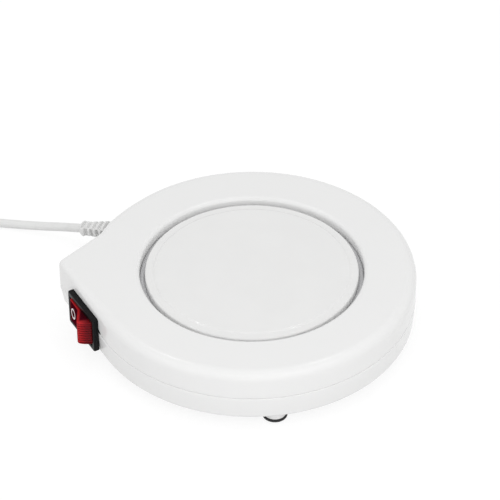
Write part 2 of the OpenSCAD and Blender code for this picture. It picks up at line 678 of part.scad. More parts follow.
module cord_clamp() color("white") at_clamp() difference() {
    translate([-clamp_w / 2, -clamp_pitch - clamp_end, clamp_z])
        cube([clamp_w, 2 * (clamp_pitch + clamp_end), clamp_t]);
    translate([-clamp_w, 0, clamp_cord_z]) rotate([0, 90, 0])
        cylinder(r = cord_d / 2 + run_gap, h = 2 * clamp_w);
    for (s = [-1, 1]) translate([0, s * clamp_pitch, clamp_z - past])
        cylinder(r = clamp_screw_r + run_gap, h = clamp_t + 2 * past);
}
module clamp_screws() color("silver") at_clamp() for (s = [-1, 1]) translate([0, s * clamp_pitch, 0]) {
    translate([0, 0, post_hole_z + slip])
        cylinder(r = clamp_screw_r, h = clamp_z + clamp_t - post_hole_z - slip);
    translate([0, 0, clamp_z + clamp_t]) cylinder(r = 2 * clamp_screw_r, h = clamp_screw_r);
}
module inner_cord() color("white") tube(inner_route, cord_d / 2);
module wire(route) tube(route, wire_r);
module live_wire() color("saddlebrown") wire(live_route);
module heater_wires() color("tomato") for (r = heater_routes) wire(r);
module neutral_wires() color("steelblue") for (r = neutral_routes) wire(r);
module wire_splice() color("gainsboro") translate([splice_spot.x, splice_spot.y, splice_z]) rotate([-90, 0, 0])
    difference() {
        cylinder(r = splice_r, h = splice_l);
        translate([0, 0, -past]) cylinder(r = splice_r - barrel_t, h = splice_l - splice_cap + past);
    }

module strain_relief() color("white") at_root() {
    translate([-wall - flange_gap - flange_t, -flange_w / 2, -flange_h / 2])
        cube([flange_t, flange_w, flange_h]);
    translate([-wall - flange_gap - join, -neck_w / 2, -neck_h / 2])
        cube([wall + flange_gap + join + relief_start + 1, neck_w, neck_h]);
    rotate([0, 0, relief_angle - relief_root]) rotate([0, relief_droop, 0]) difference() {
        capped_skin([slab(relief_start, relief_w, relief_h, 1), slab(relief_l, relief_end_w, relief_end_h, 1)]);
        // Slots above and below, and slots at the sides between them
        for (i = [0:slot_n - 1], s = [-1, 1]) translate([relief_l - slot_first - i * slot_pitch, 0, 0]) {
            translate([0, -relief_w / 2, s > 0 ? core_r : -core_r - relief_h])
                cube([slot_w, relief_w, relief_h]);
            translate([-slot_pitch / 2, s > 0 ? core_r : -core_r - relief_w, -relief_h / 4])
                cube([slot_w, relief_w, relief_h / 2]);
        }
    }
}

// ---- Mains lead ----

module power_cord() color("white") {
    tube(cord_route, cord_d / 2);
    tube(plug_route, cord_d / 2);
}
pin_tip = 1;
coil_in_r = coil_mid_r - coil_rows * cord_d / 2;
coil_out_r = coil_mid_r + coil_rows * cord_d / 2;
module cord_coil() color("white") translate([coil_spot.x, coil_spot.y, 0]) difference() {
    rotate_extrude() translate([coil_mid_r, coil_h / 2])
        polygon(rounded(coil_out_r - coil_in_r, coil_h, cord_d / 2));
    tie_band(past);
}
// Band of the tie, round the coil's section; e is how far it reaches past the coil's top and bottom
module tie_band(e) rotate([0, 0, tie_angle]) difference() {
    translate([coil_in_r - tie_t, -tie_w / 2, -e])
        cube([coil_out_r - coil_in_r + 2 * tie_t, tie_w, coil_h + 2 * e]);
    translate([coil_in_r, -tie_w, tie_t]) cube([coil_out_r - coil_in_r, 2 * tie_w, coil_h - 2 * tie_t]);
}
module cord_tie() color([0.15, 0.15, 0.15]) translate([coil_spot.x, coil_spot.y, 0]) tie_band(0);

// Sections of the plug's body: shares of its length, width and height
plug_form = [[0, 0.148, 0.38], [0.27, 0.21, 0.54], [0.324, 0.425, 0.7], [0.405, 0.567, 0.79],
    [0.676, 0.887, 0.927], [0.838, 1, 1], [0.978, 1, 1], [1, 0.955, 0.883]];
// Plug frame: +X towards the pins, origin in the middle of the plug's cord end
module at_plug() translate([plug_spot.x, plug_spot.y, plug_h / 2]) rotate([0, 0, -90]) children();
module plug_body() color("white") at_plug() {
    capped_skin([for (f = plug_form) slab(f[0] * plug_l, f[1] * plug_w, f[2] * plug_h, 0.46 * f[2] * plug_h)]);
    for (s = [-1, 1]) translate([plug_l - join, s * pin_pitch / 2, 0]) rotate([0, 90, 0])
        cylinder(r = pin_r, h = pin_bare + join);
}
module plug_pins() color("silver") at_plug() for (s = [-1, 1])
    translate([plug_l + pin_bare, s * pin_pitch / 2, 0]) rotate([0, 90, 0]) {
        cylinder(r = pin_r, h = pin_l - pin_bare - pin_tip);
        translate([0, 0, pin_l - pin_bare - pin_tip]) cylinder(r1 = pin_r, r2 = 0.6 * pin_r, h = pin_tip);
    }

// ---- Routes, about the middle of the plate ----

clamp_cord_z = 9;
clamp_z = 10;
clamp_end = 2.8;
post_hole_z = floor_z + 0.5;
tab_x = 7;
tab_y = 18;
tab_t = 0.8;
tab_w = 3;
tab_room = 2.5;
tab_end_z = 13;
tab_wire_z = tab_end_z + wire_r + slip;
cutout_spot = [6, -14];
cutout_wire_z = shield_z - cutout_h / 2;
fuse_spot = [21, 0];
seal_lip = 0.5;
sleeve_l = fuse_l + 3;
strap_in = cutout_w / 2 + run_gap;
strap_foot = 4;
fuse_z = shield_z - fuse_r - sleeve_t - 2 * run_gap;
splice_spot = [-14, 30];
splice_z = 8.8;
splice_r = 2.7;
splice_l = 9;
splice_cap = 1.5;
wire_seat = 2.5;

// Point of the switch frame, at the height of the terminals
function in_switch(x, y) = let(p = (body_r + x) * face_n + (y - switch_offset) * face_t) [p.x, p.y, switch_z];
// Last stretch of a wire, from outside into the barrel of the terminal at y
function into_barrel(y) = [in_switch(crimp_x - 2, y), in_switch(crimp_x + wire_seat, y)];
function out_of_barrel(y) = [in_switch(crimp_x + wire_seat, y), in_switch(crimp_x - 2, y)];
// Point on the strain relief's axis at distance d from its root: inside the case, or along its tail
function in_relief(d) = lift([(body_r + d) * dir(relief_root)], parting_z)[0];
function past_relief(d) = in_relief(0) + d * [cos(relief_droop) * cos(relief_angle),
    cos(relief_droop) * sin(relief_angle), -sin(relief_droop)];
relief_back = -wall - flange_gap - flange_t;

inner_route = concat([in_relief(relief_back), in_relief(relief_back - 1.6)],
    [[-41.5, 33.1, 12.9], [-39, 32.3, 11.7], [-36.6, 31.6, 10.3], [-34.3, 30.9, 9.3], [-32, 29.9, 9],
        [-28, 28.1, 9], [-24.5, 26.4, 9]]);
live_route = concat([[-24.8, 25.5, 9], [-21.5, 23.6, 8.6], [-20, 19.5, 8], [-21, 15, 8], [-24, 10.5, 8.5],
    [-28.5, 7, 9.8], [-33, 5, 11.4], [-36.5, 3.7, 12.5]], into_barrel(-blade_pitch));
heater_routes = [
    concat(out_of_barrel(0), [[-33.5, -0.6, 12.3], [-29, -0.8, 11], [-25, -2.6, 10], [-21, -5.2, 9.2],
        [-16, -8.5, 8.8], [-12, -11.2, 10.2], [-9, -13, 12.4]],
        [for (g = [2, run_gap]) [cutout_spot.x - cutout_l / 2 - g, cutout_spot.y, cutout_wire_z]]),
    concat([for (g = [run_gap, 1.6]) [cutout_spot.x + cutout_l / 2 + g, cutout_spot.y, cutout_wire_z]],
        [[20, -12.2, 14], [21, -9, 13.85]],
        [[fuse_spot.x, fuse_spot.y - fuse_l / 2 - run_gap, fuse_z]]),
    concat([[fuse_spot.x, fuse_spot.y + fuse_l / 2 + run_gap, fuse_z]],
        [[21, 9, 13.85], [19.6, 12.6, 13.8], [16, 15.8, 13.8], [12.4, 17.6, 13.9]],
        [for (g = [2, run_gap]) [tab_x + tab_t / 2 + g, tab_y, tab_wire_z]])];
neutral_routes = [
    [[-24, 27.2, 9], [-21, 25.9, 8.8], [-17.8, 25.5, 8.4], [-15.6, 27.2, 8.3], [-15, 30, 8.3], [-15, 35, 8.3]],
    concat(out_of_barrel(blade_pitch), [[-31.5, -5.2, 11.8], [-28.5, -4, 9.8], [-25.5, -2, 7.8],
        [-22, 1.5, 6.9], [-17, 6.5, 6.9], [-13, 12.5, 6.9], [-12, 19, 7.2], [-12.6, 25, 7.9],
        [-13, 30, 8.3], [-13, 35, 8.3]]),
    concat([for (g = [run_gap, 1.9]) [-tab_x - tab_t / 2 - g, tab_y, tab_wire_z]],
        [[-11.8, 19.8, 12.6], [-13, 22.5, 11.4], [-13.8, 26, 10.2], [-14, 30, 9.9], [-14, 35, 9.9]])];

coil_spot = [-131, 41];
tie_angle = 250;
plug_spot = [-155, 8];
cord_route = concat([for (d = [run_gap, 4]) past_relief(relief_l + d)],
    [[-75, 49.7, 4.6], [-80, 51.3, 3.3], [-86, 53.1, 2.3], [-92, 54.9, 1.8], [-99, 56.8, 1.7],
        [-106, 58.9, 1.7], [-112, 60.8, 1.7]]);
plug_route = concat([[-155, 27.7, 5.6], [-155, 20, 6.3]],
    [for (g = [6, run_gap]) [plug_spot.x, plug_spot.y + g, plug_h / 2]]);

placed() top_cover();
placed() bottom_case();
placed() case_screws();
placed() rubber_feet();
placed() heater_plate();
placed() plate_seal();
placed() heating_element();
placed() element_tabs();
placed() insulation_pad();
placed() heat_shield();
placed() plate_nuts();
placed() thermostat();
placed() thermostat_strap();
placed() thermal_fuse();
placed() fuse_sleeve();
placed() switch_housing();
placed() switch_terminals();
placed() crimp_receptacles();
placed() switch_rocker();
placed() rocker_spring();
placed() rocker_plunger();
placed() switch_lamp();
placed() contact_lever();
placed() cord_clamp();
placed() clamp_screws();
placed() inner_cord();
placed() live_wire();
placed() heater_wires();
placed() neutral_wires();
placed() wire_splice();
placed() strain_relief();
placed() power_cord();
placed() cord_coil();
placed() cord_tie();
placed() plug_body();
placed() plug_pins();
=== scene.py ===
"""Electric mug warmer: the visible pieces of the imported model, their finishes, the light and the camera.

The pieces are worked out in millimetres about the middle of the heated plate, with the table at z = 0, and
are put into the row frame when their meshes are made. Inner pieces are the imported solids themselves, with
procedural finishes.
"""
from __future__ import annotations

import logging
import math
from dataclasses import dataclass, field
from enum import Enum
from typing import Iterable, Sequence

import bpy
import numpy as np
from mathutils import Matrix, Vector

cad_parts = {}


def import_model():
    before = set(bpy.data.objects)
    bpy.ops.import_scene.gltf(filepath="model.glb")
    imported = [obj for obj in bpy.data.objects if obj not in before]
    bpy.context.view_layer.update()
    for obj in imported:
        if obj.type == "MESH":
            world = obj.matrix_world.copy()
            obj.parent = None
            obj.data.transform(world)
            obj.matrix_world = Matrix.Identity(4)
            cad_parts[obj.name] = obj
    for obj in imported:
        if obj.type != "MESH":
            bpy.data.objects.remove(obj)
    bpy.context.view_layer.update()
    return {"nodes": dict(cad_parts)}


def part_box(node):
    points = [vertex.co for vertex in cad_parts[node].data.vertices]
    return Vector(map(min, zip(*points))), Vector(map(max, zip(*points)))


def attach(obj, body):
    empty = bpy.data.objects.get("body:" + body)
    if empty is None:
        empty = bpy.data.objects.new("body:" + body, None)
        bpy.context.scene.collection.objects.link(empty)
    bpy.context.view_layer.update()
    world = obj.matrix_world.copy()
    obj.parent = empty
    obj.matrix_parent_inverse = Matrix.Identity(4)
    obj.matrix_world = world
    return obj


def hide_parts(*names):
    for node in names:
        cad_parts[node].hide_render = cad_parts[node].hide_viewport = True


LOG = logging.getLogger("mug_warmer")
MM = 0.001

Points = np.ndarray
Colour = tuple[float, float, float]


# ---- Plain geometry --------------------------------------------------------------------------------------


def bearing(degrees: float | Points) -> Points:
    """Return the unit vector(s) (cos a, sin a) at a bearing in degrees."""
    angle = np.radians(degrees)
    return np.stack([np.cos(angle), np.sin(angle)], axis=-1)


def arc(centre: Sequence[float], radius: float, start: float, end: float, steps: int) -> Points:
    """Return steps + 1 points centre + radius (cos a, sin a), with a from start to end in degrees."""
    return np.asarray(centre, float) + radius * bearing(np.linspace(start, end, steps + 1))


def between(first: Points, last: Points, parts: int) -> Points:
    """Return the parts - 1 points that divide the line from first to last, without its ends."""
    share = (np.arange(1, parts) / parts)[:, None]
    return first + (last - first) * share


def rounded_rect(length: float, width: float, radius: float, steps: int = 6) -> Points:
    """Return a rectangle with rounded corners, counter-clockwise: four quarter circles joined by straights.

    Args:
        length: Size along the first axis.
        width: Size along the second axis.
        radius: Corner radius.
        steps: Steps of each quarter circle.

    Returns:
        Array of 4 (steps + 1) points.
    """
    corners = [(length / 2 - radius, width / 2 - radius), (radius - length / 2, width / 2 - radius),
               (radius - length / 2, radius - width / 2), (length / 2 - radius, radius - width / 2)]
    return np.concatenate([arc(c, radius, 90 * q, 90 * q + 90, steps) for q, c in enumerate(corners)])


def lift(plan: Points, height: float) -> Points:
    """Return a plan's points as a ring at one height."""
    return np.column_stack([plan, np.full(len(plan), height)])


def upright(section: Points, x: float) -> Points:
    """Return a (y, z) section as a ring square to x."""
    return np.column_stack([np.full(len(section), x), section])


def rounding(radius: float, steps: int) -> tuple[Points, Points]:
    """Return how far a quarter round lies inside its side and inside its face.

    Args:
        radius: Radius of the round.
        steps: Steps of the angle a, from 0 on the face to 90 degrees on the side.

    Returns:
        Arrays r (1 - sin a) and r (1 - cos a) of steps + 1 values.
    """
    turn = np.radians(np.linspace(0, 90, steps + 1))
    return radius * (1 - np.sin(turn)), radius * (1 - np.cos(turn))


def along_x(x: Points, y: Points, z: Points) -> Points:
    """Return rings square to x: a stop for each row, and the rows of y and z as its points."""
    return np.stack([np.broadcast_to(x[:, None], y.shape), y, z], axis=-1)


def smooth(share: Points) -> Points:
    """Return (1 - cos(pi t)) / 2 with t held between 0 and 1: a soft step from 0 to 1."""
    return 0.5 - 0.5 * np.cos(np.pi * np.clip(share, 0, 1))


def revolve(profile: Points, steps: int = 192) -> Points:
    """Return rings (r cos a, r sin a, z) for a profile of (r, z) rows.

    Args:
        profile: Array of (radius, height).
        steps: Points of each ring.

    Returns:
        Array of shape (rows, steps, 3).
    """
    turn = bearing(np.arange(steps) * 360 / steps)
    rings = profile[:, None, 0:1] * turn[None]
    heights = np.broadcast_to(profile[:, None, 1:2], rings.shape[:2] + (1,))
    return np.concatenate([rings, heights], axis=2)


class Ends(Enum):
    """How a skin of rings is closed: caps on its first and last ring, or last ring joined to the first."""

    CAPS = "caps"
    LOOP = "loop"


@dataclass
class Shell:
    """One closed surface: points in millimetres, and faces of three or four corners."""

    points: Points
    quads: Points
    triangles: Points = field(default_factory=lambda: np.zeros((0, 3), int))

    @classmethod
    def from_rings(cls, rings: Points, ends: Ends = Ends.CAPS) -> "Shell":
        """Skin rings of equal count: quad (i, j) joins rings i, i + 1 and points j, j + 1, which wrap.

        Args:
            rings: Array of shape (rows, count, 3).
            ends: Whether the ends are capped with fans, or the last ring joins the first.

        Returns:
            A shell whose faces point outwards.
        """
        rings = np.asarray(rings, float)
        rows, count = rings.shape[:2]
        last = rows if ends is Ends.LOOP else rows - 1
        row, col = np.meshgrid(np.arange(last), np.arange(count), indexing="ij")
        up, right = (row + 1) % rows, (col + 1) % count
        quads = np.stack([row * count + col, up * count + col, up * count + right, row * count + right], -1)
        points = rings.reshape(-1, 3)
        triangles = np.zeros((0, 3), int)
        if ends is Ends.CAPS:
            low, high = len(points), len(points) + 1
            points = np.vstack([points, rings[0].mean(0), rings[-1].mean(0)])
            edge, step = np.arange(count), (np.arange(count) + 1) % count
            top = (rows - 1) * count
            triangles = np.vstack([np.stack([np.full(count, low), edge, step], -1),
                                   np.stack([np.full(count, high), top + step, top + edge], -1)])
        shell = cls(points, quads.reshape(-1, 4), triangles)
        if shell.volume() < 0:
            shell.quads, shell.triangles = shell.quads[:, ::-1], shell.triangles[:, ::-1]
        return shell

    def volume(self) -> float:
        """Return the signed volume, the sum of a . (b x c) / 6 over the triangles."""
        split = np.vstack([self.quads[:, [0, 1, 2]], self.quads[:, [0, 2, 3]], self.triangles])
        a, b, c = (self.points[split[:, k]] for k in range(3))
        return float(np.einsum("ij,ij->", a, np.cross(b, c)) / 6)

    def moved(self, place: "Place") -> "Shell":
        """Return this shell in another place."""
        return Shell(place.out(self.points), self.quads, self.triangles)


@dataclass(frozen=True)
class Place:
    """A frame of its own: an origin, and three axes as the columns of a matrix."""

    origin: Points
    axes: Points

    @classmethod
    def turned(cls, origin: Sequence[float], yaw: float = 0.0, pitch: float = 0.0) -> "Place":
        """Make a place whose x axis points at bearing yaw, then nose down by pitch, both in degrees."""
        y, p = math.radians(yaw), math.radians(pitch)
        turn = np.array([[math.cos(y), -math.sin(y), 0], [math.sin(y), math.cos(y), 0], [0, 0, 1]])
        dip = np.array([[math.cos(p), 0, math.sin(p)], [0, 1, 0], [-math.sin(p), 0, math.cos(p)]])
        return cls(np.asarray(origin, float), turn @ dip)

    def out(self, points: Points) -> Points:
        """Return points of this place about the plate's middle: origin + axes p."""
        return self.origin + np.asarray(points, float) @ self.axes.T

    def inside(self, inner: "Place") -> "Place":
        """Return a place given in this one, as a place about the plate's middle."""
        return Place(self.out(inner.origin), self.axes @ inner.axes)


def lathe(profile: Points, steps: int, spot: Sequence[float] = (0, 0), ends: Ends = Ends.CAPS) -> Shell:
    """Return a profile of (r, z) rows turned about an upright axis at a spot."""
    rings = revolve(np.asarray(profile, float), steps) + np.array([spot[0], spot[1], 0])
    return Shell.from_rings(rings, ends)


def column(plan: Points, *heights: float) -> Shell:
    """Return a plan carried straight up, with a ring at each height."""
    return Shell.from_rings(np.array([lift(plan, z) for z in heights]))


def beam(section: Points, *stops: float) -> Shell:
    """Return a (y, z) section carried along x, with a ring at each stop."""
    return Shell.from_rings(np.array([upright(section, x) for x in stops]))


def block(low: Sequence[float], high: Sequence[float]) -> Shell:
    """Return a plain block between two opposite corners."""
    (x0, y0, z0), (x1, y1, z1) = low, high
    return column(np.array([(x0, y0), (x1, y0), (x1, y1), (x0, y1)]), z0, z1)


def post(spot: Sequence[float], radius: float, low: float, high: float, round_low: float = 0.0,
         steps: int = 48) -> Shell:
    """Return an upright round post, with its lower edge rounded if asked for."""
    side, sole = rounding(round_low, 5 if round_low else 0)
    return lathe([*zip(radius - side, low + sole), (radius, high)], steps, spot)


def scene_object(name: str, data: bpy.types.ID) -> bpy.types.Object:
    """Return a new object of the scene that shows this data."""
    thing = bpy.data.objects.new(name, data)
    bpy.context.scene.collection.objects.link(thing)
    return thing


@dataclass
class Bench:
    """Where pieces are made: it knows the plate's middle in the row frame and makes Blender objects."""

    centre: tuple[float, float]

    def row(self, points: Points) -> Points:
        """Return points about the plate's middle, in millimetres, as metres in the row frame."""
        return np.asarray(points, float) * MM + np.array([self.centre[0], self.centre[1], 0.0])

    def mesh(self, name: str, shells: Iterable[Shell], sharp: float = 35.0) -> bpy.types.Object:
        """Make one object of several closed shells.

        Args:
            name: Name of the object.
            shells: The surfaces, about the plate's middle.
            sharp: Angle in degrees past which an edge stays sharp.

        Returns:
            The object, at the origin.
        """
        shells = list(shells)
        starts = np.cumsum([0] + [len(s.points) for s in shells])
        points = self.row(np.vstack([s.points for s in shells]))
        quads = np.vstack([s.quads + start for s, start in zip(shells, starts)])
        triangles = np.vstack([s.triangles + start for s, start in zip(shells, starts)])
        mesh = bpy.data.meshes.new(name)
        mesh.vertices.add(len(points))
        mesh.vertices.foreach_set("co", points.astype(np.float32).ravel())
        mesh.loops.add(quads.size + triangles.size)
        corners = np.concatenate([quads.ravel(), triangles.ravel()])
        mesh.loops.foreach_set("vertex_index", corners.astype(np.int32))
        loop_starts = np.concatenate([np.arange(len(quads)) * 4, quads.size + np.arange(len(triangles)) * 3])
        mesh.polygons.add(len(loop_starts))
        mesh.polygons.foreach_set("loop_start", loop_starts.astype(np.int32))
        mesh.update(calc_edges=True)
        mesh.validate()
        self.soften(mesh, sharp)
        return scene_object(name, mesh)

    @staticmethod
    def soften(mesh: bpy.types.Mesh, sharp: float) -> None:
        """Shade a mesh smooth, with its edges over an angle in degrees kept sharp."""
        mesh.shade_smooth()
        mesh.set_sharp_from_angle(angle=math.radians(sharp))

    def cut(self, thing: bpy.types.Object, tools: Iterable[Shell], sharp: float = 35.0) -> None:
        """Cut closed shells out of a piece, one exact difference for all of them.

        Args:
            thing: The piece.
            tools: Cutting shells that don't meet one another.
            sharp: Angle in degrees past which an edge stays sharp.
        """
        cutter = self.mesh(thing.name + "_cutter", tools)
        modifier = thing.modifiers.new("cut", "BOOLEAN")
        modifier.operation, modifier.solver, modifier.object = "DIFFERENCE", "EXACT", cutter
        self.apply(thing)
        bpy.data.objects.remove(cutter)
        self.soften(thing.data, sharp)

    @staticmethod
    def apply(thing: bpy.types.Object) -> None:
        """Put a piece's modifiers into its mesh."""
        bpy.context.view_layer.update()
        graph = bpy.context.evaluated_depsgraph_get()
        done = bpy.data.meshes.new_from_object(thing.evaluated_get(graph))
        done.name = thing.name
        thing.modifiers.clear()
        thing.data = done

    @staticmethod
    def finish(thing: bpy.types.Object, body: str, material: bpy.types.Material, slot: str,
               stands_for: Sequence[str] = ()) -> bpy.types.Object:
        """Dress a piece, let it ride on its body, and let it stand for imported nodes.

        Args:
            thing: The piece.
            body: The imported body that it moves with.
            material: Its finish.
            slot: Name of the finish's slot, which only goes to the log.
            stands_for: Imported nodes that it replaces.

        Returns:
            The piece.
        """
        thing.data.materials.clear()
        thing.data.materials.append(material)
        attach(thing, body)
        if stands_for:
            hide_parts(*stands_for)
        LOG.info("piece %s on %s, finish %s, stands for %s", thing.name, body, slot, list(stands_for) or "-")
        return thing


# ---- Finishes --------------------------------------------------------------------------------------------


class Value:
    """A number that varies over a surface or a ray: arithmetic on it adds Math nodes to its tree."""

    def __init__(self, paint: "Paint", socket: bpy.types.NodeSocket) -> None:
        """Wrap a socket of a tree."""
        self.paint, self.socket = paint, socket

    def _math(self, operation: str, *terms: "Value | float") -> "Value":
        """Add one Math node with this operation and these terms."""
        node = self.paint.node("ShaderNodeMath", {"operation": operation}, dict(enumerate(terms)))
        return Value(self.paint, node.outputs[0])

    def __add__(self, other: "Value | float") -> "Value":
        """Return self + other."""
        return self._math("ADD", self, other)

    __radd__ = __add__

    def __sub__(self, other: "Value | float") -> "Value":
        """Return self - other."""
        return self._math("SUBTRACT", self, other)

    def __rsub__(self, other: float) -> "Value":
        """Return other - self."""
        return self._math("SUBTRACT", other, self)

    def __mul__(self, other: "Value | float") -> "Value":
        """Return self * other."""
        return self._math("MULTIPLY", self, other)

    __rmul__ = __mul__

    def __pow__(self, power: float) -> "Value":
        """Return self to a power."""
        return self._math("POWER", self, power)

    def sine(self) -> "Value":
        """Return the sine of self, in radians."""
        return self._math("SINE", self)

    def size(self) -> "Value":
        """Return self without its sign."""
        return self._math("ABSOLUTE", self)

    def larger(self, other: "Value") -> "Value":
        """Return the larger of self and other."""
        return self._math("MAXIMUM", self, other)

    def ramp(self, low: float, high: float) -> "Value":
        """Return self as a share of the way from low to high, smooth and held between 0 and 1."""
        node = self.paint.node("ShaderNodeMapRange", {"interpolation_type": "SMOOTHSTEP"},
                               {"Value": self, "From Min": low, "From Max": high})
        return Value(self.paint, node.outputs["Result"])

    def ramp_mm(self, span: tuple[float, float]) -> "Value":
        """Return self, a length in metres, as a share of the way through a span in millimetres."""
        return self.ramp(span[0] * MM, span[1] * MM)


class Paint:
    """The nodes of a material or of the world, under construction."""

    def __init__(self, owner: bpy.types.Material | bpy.types.World) -> None:
        """Start an empty tree."""
        owner.use_nodes = True
        self.tree = owner.node_tree
        self.tree.nodes.clear()

    def node(self, kind: str, settings: dict[str, object] | None = None,
             inputs: dict[str | int, object] | None = None) -> bpy.types.ShaderNode:
        """Add a node: its settings first, then the values or links of its sockets.

        Args:
            kind: Blender's name for the node.
            settings: Properties by name.
            inputs: Sockets by name or number; a Value or socket is linked, anything else is set.

        Returns:
            The node.
        """
        made = self.tree.nodes.new(kind)
        for key, value in (settings or {}).items():
            setattr(made, key, value)
        for key, value in (inputs or {}).items():
            source = value.socket if isinstance(value, Value) else value
            if isinstance(source, bpy.types.NodeSocket):
                self.tree.links.new(source, made.inputs[key])
            else:
                made.inputs[key].default_value = source
        return made

    def place(self, stretch: Sequence[float] = (1, 1, 1),
              centre: Sequence[float] = (0, 0, 0)) -> bpy.types.NodeSocket:
        """Return the object's own coordinates in metres, centred and stretched."""
        where = self.node("ShaderNodeTexCoord").outputs["Object"]
        moved = self.node("ShaderNodeVectorMath", {"operation": "SUBTRACT"}, {0: where, 1: tuple(centre)})
        return self.node("ShaderNodeVectorMath", {"operation": "MULTIPLY"},
                         {0: moved.outputs[0], 1: tuple(stretch)}).outputs[0]

    def noise(self, size_mm: float, detail: float = 2.0, stretch: Sequence[float] = (1, 1, 1)) -> Value:
        """Return soft noise whose blotches are about size_mm across, stretched along the axes."""
        node = self.node("ShaderNodeTexNoise", {"noise_dimensions": "3D"},
                         {"Vector": self.place(stretch), "Scale": 1 / (size_mm * MM), "Detail": detail,
                          "Roughness": 0.55})
        return Value(self, node.outputs["Fac"])

    def cells(self, size_mm: float) -> Value:
        """Return the distance to the nearest of scattered points about size_mm apart, as a share."""
        node = self.node("ShaderNodeTexVoronoi", {"feature": "F1"},
                         {"Vector": self.place(), "Scale": 1 / (size_mm * MM)})
        return Value(self, node.outputs["Distance"])

    def axis(self, index: int, centre: Sequence[float] = (0, 0, 0)) -> Value:
        """Return one of the object's own coordinates in metres."""
        parts = self.node("ShaderNodeSeparateXYZ", None, {0: self.place(centre=centre)})
        return Value(self, parts.outputs[index])

    def along(self, direction: Sequence[float], centre: Sequence[float]) -> Value:
        """Return how far a point lies from a centre along a direction, in metres."""
        node = self.node("ShaderNodeVectorMath", {"operation": "DOT_PRODUCT"},
                         {0: self.place(centre=centre), 1: tuple(direction)})
        return Value(self, node.outputs["Value"])

    def blend(self, share: Value, low: Colour, high: Colour) -> bpy.types.NodeSocket:
        """Return a colour between low and high."""
        node = self.node("ShaderNodeMix", {"data_type": "RGBA"}, {0: share, 6: (*low, 1), 7: (*high, 1)})
        return node.outputs[2]

    def bump(self, height: Value, depth_mm: float, strength: float = 1.0) -> bpy.types.NodeSocket:
        """Return normals for a height field whose full height is depth_mm."""
        node = self.node("ShaderNodeBump", None,
                         {"Strength": strength, "Distance": depth_mm * MM, "Height": height})
        return node.outputs["Normal"]

    def seen(self) -> Value:
        """Return 1 for rays from the camera, off gloss or through glass, and 0 for those that only light."""
        rays = self.node("ShaderNodeLightPath").outputs
        camera, gloss, glass = (Value(self, rays[f"Is {kind} Ray"])
                                for kind in ("Camera", "Glossy", "Transmission"))
        return camera.larger(gloss).larger(glass)


def shaded(colour: Colour, factor: float) -> Colour:
    """Return a colour made darker or lighter by a factor."""
    return tuple(min(c * factor, 1.0) for c in colour)


@dataclass(frozen=True)
class Finish:
    """Look of one slot: every kind of finish says what it puts into one Principled shader."""

    name: str
    colour: Colour

    def inputs(self, paint: Paint) -> dict[str, object]:
        """Return the values and links of the shader's sockets, by name."""
        raise NotImplementedError

    def material(self) -> bpy.types.Material:
        """Make the material."""
        made = bpy.data.materials.new(self.name)
        paint = Paint(made)
        shader = paint.node("ShaderNodeBsdfPrincipled", None, self.inputs(paint))
        paint.node("ShaderNodeOutputMaterial", None, {"Surface": shader.outputs[0]})
        return made


@dataclass(frozen=True)
class MouldedPlastic(Finish):
    """Injection-moulded plastic: fine spark-eroded grain, faint flow variation, satin to gloss."""

    roughness: float = 0.3
    grain_mm: float = 0.35
    depth_mm: float = 0.004
    variation: float = 0.006
    coat: float = 0.0
    specular: float = 0.5
    flow_mm: float = 18.0
    handled_mm: float = 6.0
    handled_rough: float = 0.018
    grain_rough: float = 0.03

    def inputs(self, paint: Paint) -> dict[str, object]:
        """Return the shader's inputs."""
        flow = paint.noise(self.flow_mm, 3.0)
        grain = paint.noise(self.grain_mm, 3.0) * 0.7 + paint.cells(self.grain_mm * 1.3) * 0.3
        handled = paint.noise(self.handled_mm, 4.0).ramp(0.35, 0.75)
        dark = shaded(self.colour, 1 - self.variation)
        return {
            "Base Color": paint.blend(flow.ramp(0.3, 0.7), dark, self.colour),
            "Roughness": self.roughness + handled * self.handled_rough + (grain - 0.5) * self.grain_rough,
            "Normal": paint.bump(grain, self.depth_mm, 0.35),
            "Coat Weight": self.coat, "Coat Roughness": 0.06, "IOR": 1.5, "Specular IOR Level": self.specular}


@dataclass(frozen=True)
class Enamel(Finish):
    """Glossy sprayed coating on metal: long orange-peel waves, fine scuffs where a mug stands."""

    centre: tuple[float, float]
    worn_radius: float
    roughness: float = 0.085
    scuff_rough: float = 0.14
    peel_rough: float = 0.02
    peel_mm: float = 1.6
    scuff_mm: float = 0.25
    shade_mm: float = 14.0

    def inputs(self, paint: Paint) -> dict[str, object]:
        """Return the shader's inputs: waves all over, scuffs out to the worn radius."""
        middle = (*self.centre, 0.0)
        x, y = paint.axis(0, middle), paint.axis(1, middle)
        radius = (x * x + y * y) ** 0.5
        worn = 1 - radius.ramp(self.worn_radius * 0.8, self.worn_radius * 1.1)
        peel = paint.noise(self.peel_mm, 2.0)
        scuff = paint.noise(self.scuff_mm, 4.0, (1.0, 0.12, 1.0)).ramp(0.55, 0.8) * worn
        shade = paint.noise(self.shade_mm, 2.0).ramp(0.3, 0.7)
        return {
            "Base Color": paint.blend(shade, shaded(self.colour, 0.985), self.colour),
            "Roughness": self.roughness + scuff * self.scuff_rough + peel * self.peel_rough,
            "Normal": paint.bump(peel, 0.01, 0.2),
            "Coat Weight": 0.06, "Coat Roughness": 0.03, "IOR": 1.45, "Specular IOR Level": 0.34}


@dataclass(frozen=True)
class Rubber(Finish):
    """Matt rubber or silicone with a fine pebbled skin and pale bloom."""

    roughness: float = 0.75
    bloom: float = 0.25
    pebble_mm: float = 0.28
    dust_mm: float = 2.4

    def inputs(self, paint: Paint) -> dict[str, object]:
        """Return the shader's inputs."""
        pebble = paint.cells(self.pebble_mm)
        dust = paint.noise(self.dust_mm, 5.0).ramp(0.5, 0.8)
        return {
            "Base Color": paint.blend(dust * self.bloom, self.colour, shaded(self.colour, 1.6)),
            "Roughness": self.roughness + dust * 0.12,
            "Normal": paint.bump(pebble, 0.015, 0.4)}


